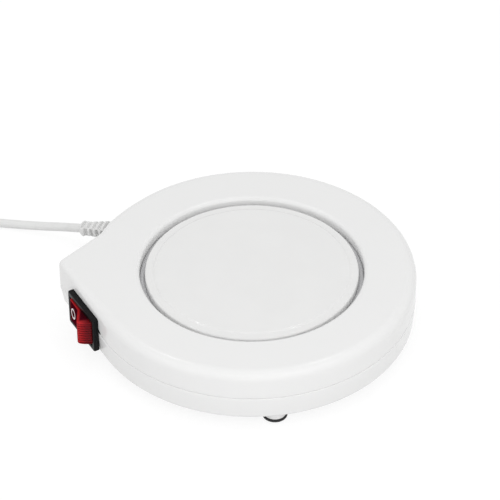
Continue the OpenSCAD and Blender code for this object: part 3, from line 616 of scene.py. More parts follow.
class Working(Enum):
    """How a metal surface was made, as the stretch of its noise: rolled, turned or drawn, dipped in zinc."""

    ROLLED = (0.05, 1.0, 1.0)
    TURNED = (1.0, 1.0, 0.06)
    ZINCED = (1.0, 1.0, 1.0)


@dataclass(frozen=True)
class Metal(Finish):
    """Bare or plated metal: fine lines or spangle, with duller stains."""

    working: Working
    roughness: float = 0.3
    line_mm: float = 0.12
    spangle_mm: float = 1.2
    stain_mm: float = 3.5

    def inputs(self, paint: Paint) -> dict[str, object]:
        """Return the shader's inputs."""
        size = self.spangle_mm if self.working is Working.ZINCED else self.line_mm
        lines = paint.noise(size, 4.0, self.working.value)
        stain = paint.noise(self.stain_mm, 4.0).ramp(0.45, 0.75)
        return {
            "Base Color": paint.blend(stain, self.colour, shaded(self.colour, 0.82)),
            "Roughness": self.roughness + lines * 0.14 + stain * 0.1,
            "Normal": paint.bump(lines, 0.006, 0.35),
            "Metallic": 1.0}


@dataclass(frozen=True)
class PaintedLightPlastic(Finish):
    """Tinted clear plastic of a rocker: dark where one looks into its depth, with painted light at its ribbed
    ends.

    The painted light is brighter near the raised edges, and painted shade dims it within the grooves between
    the
    ribs: share = end * (inner + (1 - inner) * outer) * (1 - shade * groove). There end is a ramp along the
    rocker, outer is one out of its face, and groove = (1 + cos(2 pi z / pitch)) / 2. On the two flat sides
    light is painted in a band just under the finger faces, whose height rises by slope.
    """

    deep: Colour
    middle: tuple[float, float, float]
    along: tuple[float, float, float]
    out: tuple[float, float, float]
    pitch_mm: float = 1.1
    slope: float = 0.2467
    end_mm: tuple[float, float] = (5.6, 7.1)
    outer_mm: tuple[float, float] = (1.2, 5.0)
    band_mm: tuple[float, float] = (1.9, 2.9)
    side_mm: tuple[float, float] = (4.75, 5.0)
    inner_painted_light: float = 0.3
    groove_painted_shade: float = 0.62
    side_painted_light: float = 0.7
    fine_mm: float = 0.3
    roughness: float = 0.26

    def inputs(self, paint: Paint) -> dict[str, object]:
        """Return the shader's inputs."""
        along, out = paint.along(self.along, self.middle).size(), paint.along(self.out, self.middle)
        level, fine = paint.axis(2, self.middle), paint.noise(self.fine_mm, 2.0)
        end, outer = along.ramp_mm(self.end_mm), out.ramp_mm(self.outer_mm)
        groove = (level * (2 * math.pi / (self.pitch_mm * MM)) + math.pi / 2).sine() * 0.5 + 0.5
        band = level.size().ramp_mm(self.side_mm) * (out - along * self.slope).ramp_mm(self.band_mm)
        # Painted light: bright at the ribbed ends, more so near the raised edges, with painted shade in the
        # grooves.
        ribs = end * (self.inner_painted_light + outer * (1 - self.inner_painted_light)) * (1 - groove * self.groove_painted_shade)
        # lit adds the painted light of the side bands; Base Color blends from the dark colour to the bright
        # one by it.
        lit = ribs + band * (1 - end) * self.side_painted_light
        return {
            "Base Color": paint.blend(lit, self.deep, self.colour),
            "Roughness": self.roughness + fine * 0.05,
            "Normal": paint.bump(fine, 0.003, 0.3),
            "Coat Weight": end * 0.12, "Coat Roughness": 0.2, "IOR": 1.5, "Specular IOR Level": 0.0,
            "Subsurface Weight": 0.15, "Subsurface Radius": (0.002, 0.0003, 0.0002), "Subsurface Scale": 1.0}


@dataclass(frozen=True)
class NeonGlass(Finish):
    """Thin lamp glass with a warm gas tint and a faint inner haze."""

    def inputs(self, paint: Paint) -> dict[str, object]:
        """Return the shader's inputs."""
        haze = paint.noise(1.4, 2.0)
        return {
            "Base Color": paint.blend(haze.ramp(0.3, 0.7), self.colour, shaded(self.colour, 0.8)),
            "Roughness": 0.04 + haze * 0.1, "Transmission Weight": 0.85, "IOR": 1.5}


@dataclass(frozen=True)
class Felt(Finish):
    """Pressed mineral or glass fibre: tangled strands, fuzzy and matt."""

    strand_mm: float = 0.5

    def inputs(self, paint: Paint) -> dict[str, object]:
        """Return the shader's inputs."""
        across, along = (paint.noise(self.strand_mm, 6.0, way)
                         for way in ((1.0, 0.25, 1.0), (0.25, 1.0, 1.0)))
        strands = across * 0.5 + along * 0.5
        return {
            "Base Color": paint.blend(strands.ramp(0.35, 0.65), shaded(self.colour, 0.78), self.colour),
            "Roughness": 0.92 + strands * 0.06, "Normal": paint.bump(strands, 0.12, 0.7),
            "Sheen Weight": 0.3, "Sheen Roughness": 0.5}


@dataclass(frozen=True)
class Mineral(Finish):
    """Mica, glazed ceramic or phenolic: flakes or specks in a hard matt body."""

    speck: Colour
    speck_mm: float
    roughness: float = 0.5

    def inputs(self, paint: Paint) -> dict[str, object]:
        """Return the shader's inputs."""
        flakes = paint.cells(self.speck_mm)
        return {
            "Base Color": paint.blend(flakes.ramp(0.15, 0.5), self.speck, self.colour),
            "Roughness": self.roughness + flakes * 0.2, "Normal": paint.bump(flakes, 0.02, 0.3)}


@dataclass(frozen=True)
class WovenSleeve(Finish):
    """Braided glass sleeve: two families of strands that cross at a slant."""

    pitch_mm: float = 0.9

    def inputs(self, paint: Paint) -> dict[str, object]:
        """Return the shader's inputs: height is |sin(x + y + z)| * |sin(x - y + z)| at the strands' rate."""
        rate = math.pi / (self.pitch_mm * MM)
        x, y, z = (paint.axis(k) for k in range(3))
        weave = ((x + y + z) * rate).sine().size() * ((x - y + z) * rate).sine().size()
        # The base colour is darker where the weave is low: painted shade between the strands.
        return {
            "Base Color": paint.blend(weave, shaded(self.colour, 0.6), self.colour),
            "Roughness": 0.6 + weave * 0.2, "Normal": paint.bump(weave, 0.08, 0.6)}


@dataclass(frozen=True)
class CordJacket(Finish):
    """Extruded vinyl: soft sheen, faint drag lines and a slightly dusty skin."""

    roughness: float = 0.42
    drag_mm: float = 0.5
    dust_mm: float = 5.0

    def inputs(self, paint: Paint) -> dict[str, object]:
        """Return the shader's inputs."""
        drag = paint.noise(self.drag_mm, 3.0)
        dust = paint.noise(self.dust_mm, 4.0).ramp(0.45, 0.8)
        return {
            "Base Color": paint.blend(dust, self.colour, shaded(self.colour, 0.95)),
            "Roughness": self.roughness + dust * 0.1 + drag * 0.04, "Normal": paint.bump(drag, 0.006, 0.4),
            "Specular IOR Level": 0.45}


@dataclass(frozen=True)
class PrintedMark(Finish):
    """Pad-printed ink on a rocker: opaque, with a slightly broken edge."""

    def inputs(self, paint: Paint) -> dict[str, object]:
        """Return the shader's inputs."""
        broken = paint.noise(0.2, 3.0).ramp(0.25, 0.5)
        return {
            "Base Color": paint.blend(broken, shaded(self.colour, 0.7), self.colour),
            "Roughness": 0.35 + broken * 0.1, "Normal": paint.bump(broken, 0.004, 0.3)}


# ---- Housing ---------------------------------------------------------------------------------------------

PARTING_Z = 13.6


@dataclass
class Plan:
    """Outline of the housing seen from above: a circle that runs out into a tail at one side.

    The circle has body_r about the plate's middle. The flat switch face touches it square to face_angle and
    runs tail_reach past the touching point. The flat rear face stands square to rear_angle + 90 and comes
    back to the circle through a hollow blend.
    """

    body_r: float = 61.2
    face_angle: float = 209.1
    tail_reach: float = 39.2
    rear_angle: float = 48.0
    blend_r: float = 10.0
    tip_r: float = 3.0
    least_tip_r: float = 0.3
    steps: tuple[int, int, int, int, int] = (330, 26, 34, 12, 40)
    fade_steps: int = 24
    fade_face: tuple[float, float] = (0.9, 0.62)

    def __post_init__(self) -> None:
        """Work out the directions of the two flat faces and the middle of the blend."""
        self.face_n, self.face_t = bearing(self.face_angle), bearing(self.face_angle + 90)
        self.rear_n = bearing(self.rear_angle + 90)
        self.rear_k = float((self.body_r * self.face_n - self.tail_reach * self.face_t) @ self.rear_n)
        reach = self.rear_k + self.blend_r
        self.blend_c = self.rear_n * reach - bearing(self.rear_angle) * math.sqrt(
            (self.body_r + self.blend_r) ** 2 - reach ** 2)
        self.blend_a = math.degrees(math.atan2(self.blend_c[1], self.blend_c[0]))

    def tip_centre(self, inset: float, radius: float) -> Points:
        """Return the middle of the tail's rounded tip: where both faces, moved in, cross."""
        m, n = self.face_n, self.rear_n
        u, v = self.body_r - inset - radius, self.rear_k - inset - radius
        return np.array([u * n[1] - v * m[1], v * m[0] - u * n[0]]) / (m[0] * n[1] - m[1] * n[0])

    def outline(self, inset: float) -> Points:
        """Return the plan moved in by a distance, always with the same number of points."""
        radius = max(self.tip_r - inset, self.least_tip_r)
        circle_n, blend_n, rear_n, tip_n, face_n = self.steps
        circle = arc((0, 0), self.body_r - inset, self.face_angle, 360 + self.blend_a, circle_n)
        blend = arc(self.blend_c, self.blend_r + inset, self.blend_a + 180, self.rear_angle + 270, blend_n)
        tip = arc(self.tip_centre(inset, radius), radius, self.rear_angle + 90, self.face_angle, tip_n)
        return np.concatenate([circle, blend, between(blend[-1], tip[0], rear_n), tip,
                               between(tip[-1], circle[0], face_n)])

    def ring(self, inset: float, height: float) -> Points:
        """Return the plan moved in, at a height."""
        return lift(self.outline(inset), height)

    def tail_share(self) -> Points:
        """Return for each point of the plan 0 on the round body and 1 on the rear face and the tip.

        It rises in a soft step over the last fade_steps steps of the circle. Along the switch face it falls
        again, and fade_face says where it ends, and over how much, as shares of the way from tip to root.
        """
        circle_n, blend_n, rear_n, tip_n, face_n = self.steps
        end, length = self.fade_face
        circle = smooth((np.arange(circle_n + 1) - circle_n + self.fade_steps) / self.fade_steps)
        face = smooth((end - np.arange(1, face_n) / face_n) / length)
        return np.concatenate([circle, np.ones(blend_n + rear_n + tip_n + 1), face])[:, None]

    def fitted(self, body: tuple[float, float], tail: tuple[float, float]) -> Points:
        """Return a ring with one inset and height on the round body and another on the tail.

        Args:
            body: Inset and height on the round body.
            tail: Inset and height on the tail.

        Returns:
            (1 - share) * body ring + share * tail ring.
        """
        share = self.tail_share()
        return (1 - share) * self.ring(*body) + share * self.ring(*tail)

    def circle(self, radius: float, height: float) -> Points:
        """Return a circle with one point for each point of the plan, at the same bearing."""
        plan = self.outline(0)
        return lift(radius * plan / np.linalg.norm(plan, axis=1, keepdims=True), height)


@dataclass
class SwitchSeat:
    """Where the rocker switch stands in the wall: x points out of the face, y along it, z up."""

    plan: Plan
    offset: float = 16.2
    height: float = 12.9
    body_l: float = 18.9
    body_w: float = 12.9
    corner_r: float = 0.2
    cut_x: tuple[float, float] = (-4.5, 1.0)

    def place(self) -> Place:
        """Return the switch's frame."""
        spot = self.plan.body_r * self.plan.face_n - self.offset * self.plan.face_t
        return Place.turned((spot[0], spot[1], self.height), self.plan.face_angle)

    def opening(self, slip: float) -> Shell:
        """Return the block that cuts the switch's opening through the wall."""
        section = rounded_rect(self.body_l + 2 * slip, self.body_w + 2 * slip, self.corner_r, 3)
        return beam(section, *self.cut_x).moved(self.place())


@dataclass
class Housing:
    """Two-part moulded housing: the cover with its round opening, and the case with vents and feet."""

    plan: Plan
    seat: SwitchSeat
    relief_root: Place
    feet: Sequence[tuple[float, float]]
    foot_h: float = 4.0
    parting_z: float = PARTING_Z
    top_z: float = 25.0
    gap: float = 0.08
    edge_r: tuple[float, float] = (3.8, 2.2)
    case_edge_r: tuple[float, float] = (1.5, 3.5)
    draft: tuple[float, float] = (0.5, 1.0)
    wall: float = 2.0
    seam_edge: tuple[tuple[float, float], ...] = ((0.3, 0.0), (0.15, 0.1), (0.04, 0.28), (0.0, 0.5))
    rebate: tuple[float, float] = (1.0, 15.2)
    under_bevel: float = 1.6
    tongue: tuple[float, float] = (1.1, 1.5)
    opening_r: float = 41.8
    lip_r: float = 1.6
    ledge: tuple[float, float, float] = (37.5, 18.6, 16.9)
    collar_r: float = 43.8
    under_z: float = 22.8
    slip: float = 0.1
    neck: tuple[float, float, float] = (5.6, 5.4, 0.3)
    neck_x: tuple[float, float] = (-4.5, 1.5)
    foot_r: float = 4.2
    foot_edge: float = 0.35
    boss_z: tuple[float, float] = (1.0, 6.0)
    boss_r: float = 3.45
    screw_hole: float = 2.85
    screw_z: tuple[float, float] = (3.7, 6.3)
    screw_bore: tuple[float, float] = (1.55, 4.4)
    vents: tuple[int, float, float, float, float] = (7, 22.0, 2.2, 5.5, -8.0)
    vent_rows: tuple[tuple[float, float], ...] = ((1.0, -0.3), (0.1, 0.35), (0.0, 2.3))

    def neck_opening(self) -> Shell:
        """Return the block that cuts the notch for the strain relief's neck, through both halves."""
        return beam(rounded_rect(*self.neck, 3), *self.neck_x).moved(self.relief_root)

    def edge(self, inset: Sequence[float], radius: Sequence[float], height: float, up: float,
             steps: int) -> list[Points]:
        """Return the rings of a rounded edge, from a level face to the wall.

        Args:
            inset: Inset of the wall on the body and on the tail.
            radius: Radius of the edge on the body and on the tail.
            height: Height of the level face.
            up: 1 where the wall rises from the edge, -1 where it comes up to it.
            steps: Steps of the round.

        Returns:
            One ring more than the steps.
        """
        rows = []
        for start, size in zip(inset, radius):
            side, face = rounding(size, steps)
            rows.append(np.column_stack([start + side, height + up * face]))
        return [self.plan.fitted(body, tail) for body, tail in zip(*rows)]

    @staticmethod
    def slope(first: Points, last: Points, rows: int) -> list[Points]:
        """Return the rows - 1 rings between two rings, on straight lines from one to the other."""
        return [first + (last - first) * (row / rows) for row in range(1, rows)]

    def cover_rings(self) -> Points:
        """Return the cover's section as rings.

        They run up the wall from the seam, over its edge, across the top, down the opening's soft lip to the
        ledge, round the collar, and back along the inside to the rebate for the case's tongue.
        """
        p, top, margin = self.plan, self.top_z, 0.5
        seam = self.parting_z + self.gap
        ledge_r, ledge_z, collar_z = self.ledge
        rebate_in, rebate_z = self.rebate
        edge = self.edge((0, 0), self.edge_r, top, -1, 16)[::-1]
        rings = [p.ring(inset, seam + up) for inset, up in self.seam_edge]
        rings += self.slope(rings[-1], edge[0], 5) + edge
        rings += [p.fitted(*((r + margin, top) for r in self.edge_r)),
                  p.circle(self.opening_r + self.lip_r + margin, top)]
        rings += [p.circle(r, z) for r, z in arc((self.opening_r + self.lip_r, top - self.lip_r),
                                                 self.lip_r, 90, 180, 12)]
        rings += [p.circle(r, z) for r, z in (
            (self.opening_r, ledge_z + 0.4), (self.opening_r, ledge_z), (ledge_r, ledge_z),
            (ledge_r, collar_z), (self.collar_r, collar_z), (self.collar_r, self.under_z))]
        rings += [p.ring(inset, z) for inset, z in (
            (self.wall + self.under_bevel, self.under_z), (self.wall, self.under_z - self.under_bevel),
            (self.wall, rebate_z), (rebate_in, rebate_z), (rebate_in, seam))]
        return np.array(rings)

    def case_rings(self) -> Points:
        """Return the case as rings.

        They run round its bottom edge, up the drafted wall, over the tongue, and down inside to the floor.
        """
        p, seam = self.plan, self.parting_z
        tongue_in, tongue_h = self.tongue
        wall = [p.ring(inset, seam - down) for inset, down in self.seam_edge[::-1]]
        rings = [p.fitted(*((d + r + 0.6, self.foot_h) for d, r in zip(self.draft, self.case_edge_r)))]
        rings += self.edge(self.draft, self.case_edge_r, self.foot_h, 1, 12)
        rings += self.slope(rings[-1], wall[0], 6) + wall
        rings += [p.ring(inset, z) for inset, z in (
            (tongue_in, seam), (tongue_in, seam + tongue_h), (self.wall, seam + tongue_h),
            (self.wall + 0.05, seam - 0.6), (self.wall + 0.5, self.foot_h + self.wall))]
        return np.array(rings)

    def vent_slots(self) -> list[Shell]:
        """Return the cutters of the vents: slots with round ends through the floor, wider at the outside."""
        count, length, width, pitch, middle = self.vents
        slots = []
        for index in range(count):
            spot = np.array([(index - (count - 1) / 2) * pitch, middle])
            rings = [lift(rounded_rect(width + grow, length + grow, (width + grow) / 2 - 0.001, 8) + spot,
                          self.foot_h + up) for grow, up in self.vent_rows]
            slots.append(Shell.from_rings(np.array(rings)))
        return slots

    def hollow_boss(self, spot: tuple[float, float]) -> Shell:
        """Return a foot boss as a tube: outside up from its rounded lower rim, then down the screw's hole."""
        low, high = self.boss_z
        bore_r, seat_z = self.screw_bore
        end = self.parting_z - 0.1
        side, sole = rounding(self.foot_edge, 5)
        profile = [(self.screw_hole, low), *zip(self.foot_r - side, low + sole), (self.foot_r, high),
                   (self.boss_r, high), (self.boss_r, end), (bore_r, end), (bore_r, seat_z),
                   (self.screw_hole, seat_z)]
        return lathe(profile, 48, spot, Ends.LOOP)

    def build(self, bench: Bench, plastic: bpy.types.Material) -> list[bpy.types.Object]:
        """Make the cover with its posts, and the case with its foot bosses."""
        openings = [self.seat.opening(self.slip), self.neck_opening()]
        cover = bench.mesh("cover_shell", [Shell.from_rings(self.cover_rings(), Ends.LOOP)])
        bench.cut(cover, openings)
        case = bench.mesh("case_shell", [Shell.from_rings(self.case_rings())])
        holes = [post(f, self.screw_hole, *self.screw_z) for f in self.feet]
        bench.cut(case, openings + self.vent_slots() + holes)
        bosses = bench.mesh("case_bosses", [self.hollow_boss(f) for f in self.feet])
        posts = bench.mesh("cover_posts", [post(f, self.boss_r, self.parting_z, self.under_z + 0.1)
                                           for f in self.feet])
        pieces = ((cover, ["top_cover"]), (case, ["bottom_case"]), (bosses, ()), (posts, ()))
        return [bench.finish(piece, "housing", plastic, "housing_white", nodes) for piece, nodes in pieces]


@dataclass
class RubberFeet:
    """Soft pads under the bosses: rounded at the table, with a shallow ring moulded underneath."""

    spots: Sequence[tuple[float, float]]
    radius: float = 4.6
    height: float = 1.0
    plug_r: float = 2.7
    plug_top: float = 2.6
    bevel: float = 0.2
    round_r: float = 0.35
    sole: tuple[tuple[float, float], ...] = ((0.6, 0.25), (1.6, 0.25), (1.9, 0.0), (2.8, 0.0))

    def profile(self) -> Points:
        """Return the pad's section from the middle of its sole, out and up to its plug."""
        side, sole = rounding(self.round_r, 5)
        below, inward = rounding(self.bevel, 5)
        return np.array([*self.sole, *zip(self.radius - side, sole),
                         *zip(self.radius - inward, self.height - below), (self.plug_r, self.height),
                         (self.plug_r, self.plug_top - self.bevel), (self.plug_r - self.bevel, self.plug_top),
                         (self.sole[0][0], self.plug_top)])

    def build(self, bench: Bench, rubber: bpy.types.Material) -> bpy.types.Object:
        """Make the four pads as one object."""
        pads = [lathe(self.profile(), 64, spot) for spot in self.spots]
        return bench.finish(bench.mesh("foot_pads", pads), "housing", rubber, "foot_rubber", ["rubber_feet"])


@dataclass
class HotPlate:
    """Heated dish: a raised flat platform, a soft step, a lower rim and a turned-down edge."""

    radius: float = 39.8
    top_z: float = 23.8
    edge_r: float = 0.7
    rim_z: float = 20.6
    rim_t: float = 2.0
    thickness: float = 2.5
    platform_r: float = 36.0
    step_w: float = 1.1
    step_h: float = 0.35
    studs: tuple[float, float, float] = (28.0, 1.5, 10.0)
    seal_in: float = 37.6
    seal_out: float = 41.7
    lip: tuple[float, float] = (39.9, 21.1)
    lip_h: float = 0.45
    seal_z: float = 18.6
    flat_r: tuple[float, ...] = (0.4, 12, 24, 32, 35.6)

    def profile(self) -> Points:
        """Return the dish's section from its middle over the platform, step and edge, and back below."""
        share = np.linspace(0, 1, 10)
        step = np.column_stack([self.platform_r + self.step_w * share,
                                self.top_z - self.step_h * smooth(share)])
        low, inner_r = self.top_z - self.step_h, self.radius - self.rim_t
        edge = arc((self.radius - self.edge_r, low - self.edge_r), self.edge_r, 90, 0, 10)
        flat = [(r, self.top_z) for r in self.flat_r]
        under = [(self.radius, self.rim_z), (inner_r, self.rim_z), (inner_r, self.top_z - self.thickness),
                 (self.flat_r[0], self.top_z - self.thickness)]
        return np.concatenate([flat, step, edge, under])

    def build(self, bench: Bench, enamel: bpy.types.Material,
              silicone: bpy.types.Material) -> list[bpy.types.Object]:
        """Make the dish with its studs, and the seal round it."""
        circle, stud_r, length = self.studs
        under = self.top_z - self.thickness
        studs = [post(tuple(circle * bearing(a)), stud_r, under - length, under + 0.3, 0.3, 24)
                 for a in (90, 210, 330)]
        dish = bench.mesh("hot_plate", [lathe(self.profile(), 256)] + studs, 30)
        lip_r, lip_z = self.lip
        spring = lip_z - self.lip_h
        crown = arc(((lip_r + self.seal_out) / 2, spring), (self.seal_out - lip_r) / 2, 180, 0, 10)
        crown[:, 1] = spring + (crown[:, 1] - spring) * 0.5
        section = np.concatenate([[(self.seal_in, self.seal_z), (self.seal_out, self.seal_z)], crown[::-1],
                                  [(lip_r, self.rim_z), (self.seal_in, self.rim_z)]])
        seal = bench.mesh("plate_gasket", [lathe(section, 224, ends=Ends.LOOP)])
        return [bench.finish(dish, "housing", enamel, "plate_enamel", ["heater_plate"]),
                bench.finish(seal, "housing", silicone, "seal_silicone", ["plate_seal"])]


# ---- Rocker switch ---------------------------------------------------------------------------------------


@dataclass
class RockerSwitch:
    """Snap-in rocker switch: black body with a raised bezel, and a clear red rocker with moulded ribs."""

    seat: SwitchSeat
    bezel_l: float = 21.0
    bezel_w: float = 15.0
    bezel_t: float = 2.1
    corner_r: float = 1.0
    front_r: float = 0.5
    depth: float = 14.0
    window_l: float = 17.6
    window_w: float = 10.6
    floor_t: float = 1.2
    pivot_depth: float = 0.4
    tilt: float = -16.0
    rocker_r: float = 8.67
    rocker_a: float = 36.24
    skirt_a: float = -32.0
    half_h: float = 5.05
    valley_x: float = 3.4
    trunnion_r: float = 1.2
    edge_r: float = 1.35
    rib_pitch: float = 1.1
    rib_depth: float = 0.42
    rib_zone: tuple[float, float] = (4.55, 0.3)
    side_r: float = 0.45
    crease: tuple[float, float] = (0.06, 0.8)
    rear_r: float = 0.4
    bezel_ease: tuple[float, float] = (0.12, 0.15)
    window_r: float = 0.3
    window_chamfer: tuple[tuple[float, float], ...] = ((0.35, 0.0), (0.25, 0.06), (0.0, 0.4))
    ring_mark: tuple[float, float, float] = (-4.2, 2.4, 0.68)
    ring_squeeze: float = 0.72
    bar_mark: tuple[float, float, float] = (4.2, 4.8, 0.7)
    ink: tuple[float, float] = (-0.04, 0.06)
    bore_r: float = 1.25
    blade_slots: tuple[float, float, float] = (5.5, 0.4, 2.4)
    latch: tuple[tuple[float, float], ...] = ((-2.4, -0.3), (-2.4, 0.65), (-2.55, 0.8), (-7.0, -0.3))
    latch_half: float = 2.4
    # key: the black wedge in the seam beside the bezel, which stands in for the shade in the gap: near, far,
    # low, high.
    key: tuple[float, float, float, float] = (10.3, 12.1, 1.5, 3.4)
    shadow_wedge_x: tuple[float, float] = (-0.8, 0.12)

    def body_rings(self) -> Points:
        """Return the body and bezel as rings.

        They run from the back up the outside, over the bezel's rounded front edge, down the window's
        chamfer and along the inside to the floor.
        """
        front, steps = self.bezel_t, 8
        ease_y, ease_x = self.bezel_ease
        rear = rounded_rect(self.seat.body_l, self.seat.body_w, self.rear_r, steps)

        def bezel(shrink: float, x: float) -> Points:
            """Return the bezel's outline, smaller by shrink all round."""
            return upright(rounded_rect(self.bezel_l - 2 * shrink, self.bezel_w - 2 * shrink,
                                        max(self.corner_r - shrink, 0.2), steps), x)

        def window(grow: float, x: float) -> Points:
            """Return the window's outline, larger by grow all round."""
            return upright(rounded_rect(self.window_l + 2 * grow, self.window_w + 2 * grow,
                                        self.window_r + grow, steps), x)

        rings = [upright(rear, x) for x in (-self.depth, -0.02, 0.0)]
        rings += [bezel(ease_y, 0.0), bezel(0.0, ease_x), bezel(0.0, front - self.front_r - 0.3)]
        rings += [bezel(shrink, front - below) for below, shrink in zip(*rounding(self.front_r, 8))]
        rings += [window(grow, front - below) for grow, below in self.window_chamfer]
        rings += [window(0.0, 0.2), window(0.0, self.floor_t - self.depth)]
        return np.array(rings)

    def rise(self) -> tuple[Points, Points]:
        """Return the direction up one face from the valley to its raised end, and the direction out of it."""
        turn = math.radians(self.rocker_a)
        along = self.rocker_r * np.array([math.sin(turn), math.cos(turn)]) - np.array([self.valley_x, 0.0])
        along /= np.linalg.norm(along)
        return along, np.array([along[1], -along[0]])

    def rocker_outline(self) -> Points:
        """Return the rocker's section in its own frame: a shallow valley, two raised ends and two arcs.

        Each raised end is rounded by a circle of edge_r that touches the face and the arc: its middle lies
        edge_r inside the face's line and rocker_r - edge_r from the pivot. The valley is filled by
        crease[0] * exp(-(y / crease[1])^2).
        """
        along, out = self.rise()
        fill, breadth = self.crease
        valley = np.array([self.valley_x, 0.0])
        base = valley - self.edge_r * out
        inner_r = self.rocker_r - self.edge_r
        reach = -base @ along + math.sqrt((base @ along) ** 2 - base @ base + inner_r ** 2)
        middle = base + reach * along
        last = math.degrees(math.atan2(middle[1], middle[0]))
        rounded = arc(middle, self.edge_r, math.degrees(math.atan2(out[1], out[0])), last, 12)
        side = arc((0, 0), self.rocker_r, last, 90 - self.skirt_a, 30)[1:]
        face = valley + along * np.linspace(0, reach, 13)[1:-1, None]
        face[:, 0] += fill * np.exp(-(face[:, 1] / breadth) ** 2)
        half = np.concatenate([face, rounded, side])
        return np.concatenate([[[self.valley_x + fill, 0.0]], half, half[::-1] * np.array([1, -1])])

    def rocker_rings(self) -> Points:
        """Return the rocker as rings stacked along the pivot.

        The outline is drawn in at both side faces by a quarter circle, and on the end arcs by the moulded
        grooves, which are rib_depth (1 + cos(2 pi z / rib_pitch)) / 2 deep.
        """
        outline, edge = self.rocker_outline(), self.side_r
        levels = np.unique(np.concatenate([self.half_h - rounding(edge, 6)[0], np.arange(-4.5, 4.51, 0.1)]))
        levels = np.unique(np.round(np.concatenate([-levels, levels]), 3))
        away = np.maximum(np.abs(levels) - (self.half_h - edge), 0)
        inward = edge - np.sqrt(np.maximum(edge ** 2 - away ** 2, 0))
        dip = self.rib_depth * (0.5 + 0.5 * np.cos(2 * np.pi * levels / self.rib_pitch))
        end, fade = self.rib_zone
        dip *= smooth((end - np.abs(levels)) / fade)
        radius = np.linalg.norm(outline, axis=1)
        on_arc = smooth((radius - self.rocker_r + 0.05) / 0.05)[None]
        pull = (inward[:, None] + dip[:, None] * on_arc) / radius[None]
        flat = outline[None] * (1 - pull[..., None])
        height = np.broadcast_to(levels[:, None, None], flat.shape[:2] + (1,))
        return np.concatenate([flat, height], axis=2)

    def mark_ring(self, middle: float, outer: float, line: float) -> Shell:
        """Return the ring of the off mark, as a raised loop of printed ink on the rocker's face."""
        low, high = self.ink
        inner = outer - line
        ring = revolve(np.array([(inner, low), (outer, low), (outer, high), (inner, high)]), 48)
        ring[..., 0] *= self.ring_squeeze
        return Shell.from_rings(self.on_face(ring, middle), Ends.LOOP)

    def mark_bar(self, middle: float, length: float, line: float) -> Shell:
        """Return the bar of the on mark, as a raised strip of printed ink."""
        plan = rounded_rect(line, length, line * 0.4, 4)
        return Shell.from_rings(self.on_face(np.array([lift(plan, z) for z in self.ink]), middle))

    def on_face(self, rings: Points, middle: float) -> Points:
        """Lay flat rings on one of the rocker's two faces: x along the face, y along the pivot, z out."""
        side = np.array([1.0, math.copysign(1.0, middle)])
        along, out = (direction * side for direction in self.rise())
        start = np.array([self.valley_x, 0.0]) + along * abs(middle)
        flat = start + rings[..., 0:1] * along + rings[..., 2:3] * out
        return np.concatenate([flat, rings[..., 1:2]], axis=-1)

    def rocker_place(self) -> Place:
        """Return the rocker's frame at rest: x out of the face, y along the rocker, z along its pivot."""
        return self.seat.place().inside(Place.turned((-self.pivot_depth, 0, 0), self.tilt))

    def trunnions(self) -> Shell:
        """Return the pivot pin through both sides of the rocker, with small chamfers."""
        half, radius, bevel = self.seat.body_w / 2 - 0.1, self.trunnion_r, 0.2
        return lathe([(radius - bevel, -half), (radius, bevel - half), (radius, half - bevel),
                      (radius - bevel, half)], 48)

    def latches(self) -> list[Shell]:
        """Return the two snap latches that hold the switch: latch has x and how far past the body's end."""
        half = self.seat.body_l / 2
        return [column(np.array([(x, side * (half + past)) for x, past in self.latch]),
                       -self.latch_half, self.latch_half) for side in (-1, 1)]

    def seam_shadow_wedge(self) -> Shell:
        """Return a small black wedge beside the bezel, in the seam of the housing: a dark solid put where the
        seam's gap shows only shade.
        """
        near, far, low, high = self.key
        plan = np.array([(near, low), (far, low), (far, low + 0.15), (near, high)])
        return beam(plan, *self.shadow_wedge_x)

    def cutters(self) -> list[Shell]:
        """Return what is cut out of the body: the bore for the pivot, and the slots for the blades."""
        half = self.seat.body_w / 2 + 0.3
        pitch, slot_y, slot_z = self.blade_slots
        back, floor = -self.depth - 0.5, -self.depth + self.floor_t + 0.5
        bore = lathe([(self.bore_r, -half), (self.bore_r, half)], 32, (-self.pivot_depth, 0))
        return [bore] + [block((back, y - slot_y, -slot_z), (floor, y + slot_y, slot_z))
                         for y in (-pitch, 0.0, pitch)]

    def build(self, bench: Bench, black: bpy.types.Material, red: bpy.types.Material,
              ink: bpy.types.Material) -> list[bpy.types.Object]:
        """Make the body, the rocker and its printed marks."""
        at_switch = self.seat.place()
        at_rocker = self.rocker_place()
        body = bench.mesh("switch_bezel_body", [Shell.from_rings(self.body_rings()).moved(at_switch)]
                          + [s.moved(at_switch) for s in (*self.latches(), self.seam_shadow_wedge())])
        bench.cut(body, [c.moved(at_switch) for c in self.cutters()])
        rocker = bench.mesh("rocker_cap", [Shell.from_rings(self.rocker_rings()).moved(at_rocker),
                                           self.trunnions().moved(at_rocker)], 40)
        marks = bench.mesh("rocker_marks", [self.mark_ring(*self.ring_mark).moved(at_rocker),
                                            self.mark_bar(*self.bar_mark).moved(at_rocker)])
        return [bench.finish(body, "housing", black, "switch_black", ["switch_housing"]),
                bench.finish(rocker, "rocker", red, "rocker_red", ["switch_rocker"]),
                bench.finish(marks, "rocker", ink, "rocker_red")]


# ---- Mains lead ------------------------------------------------------------------------------------------


def even_ring(length: float, width: float, radius: float, count: int) -> Points:
    """Return a rounded rectangle resampled to points that stand evenly along its edge."""
    fine = rounded_rect(length, width, radius, 24)
    closed = np.vstack([fine, fine[:1]])
    along = np.concatenate([[0], np.cumsum(np.linalg.norm(np.diff(closed, axis=0), axis=1))])
    stops = np.arange(count) / count * along[-1]
    return np.column_stack([np.interp(stops, along, closed[:, k]) for k in (0, 1)])


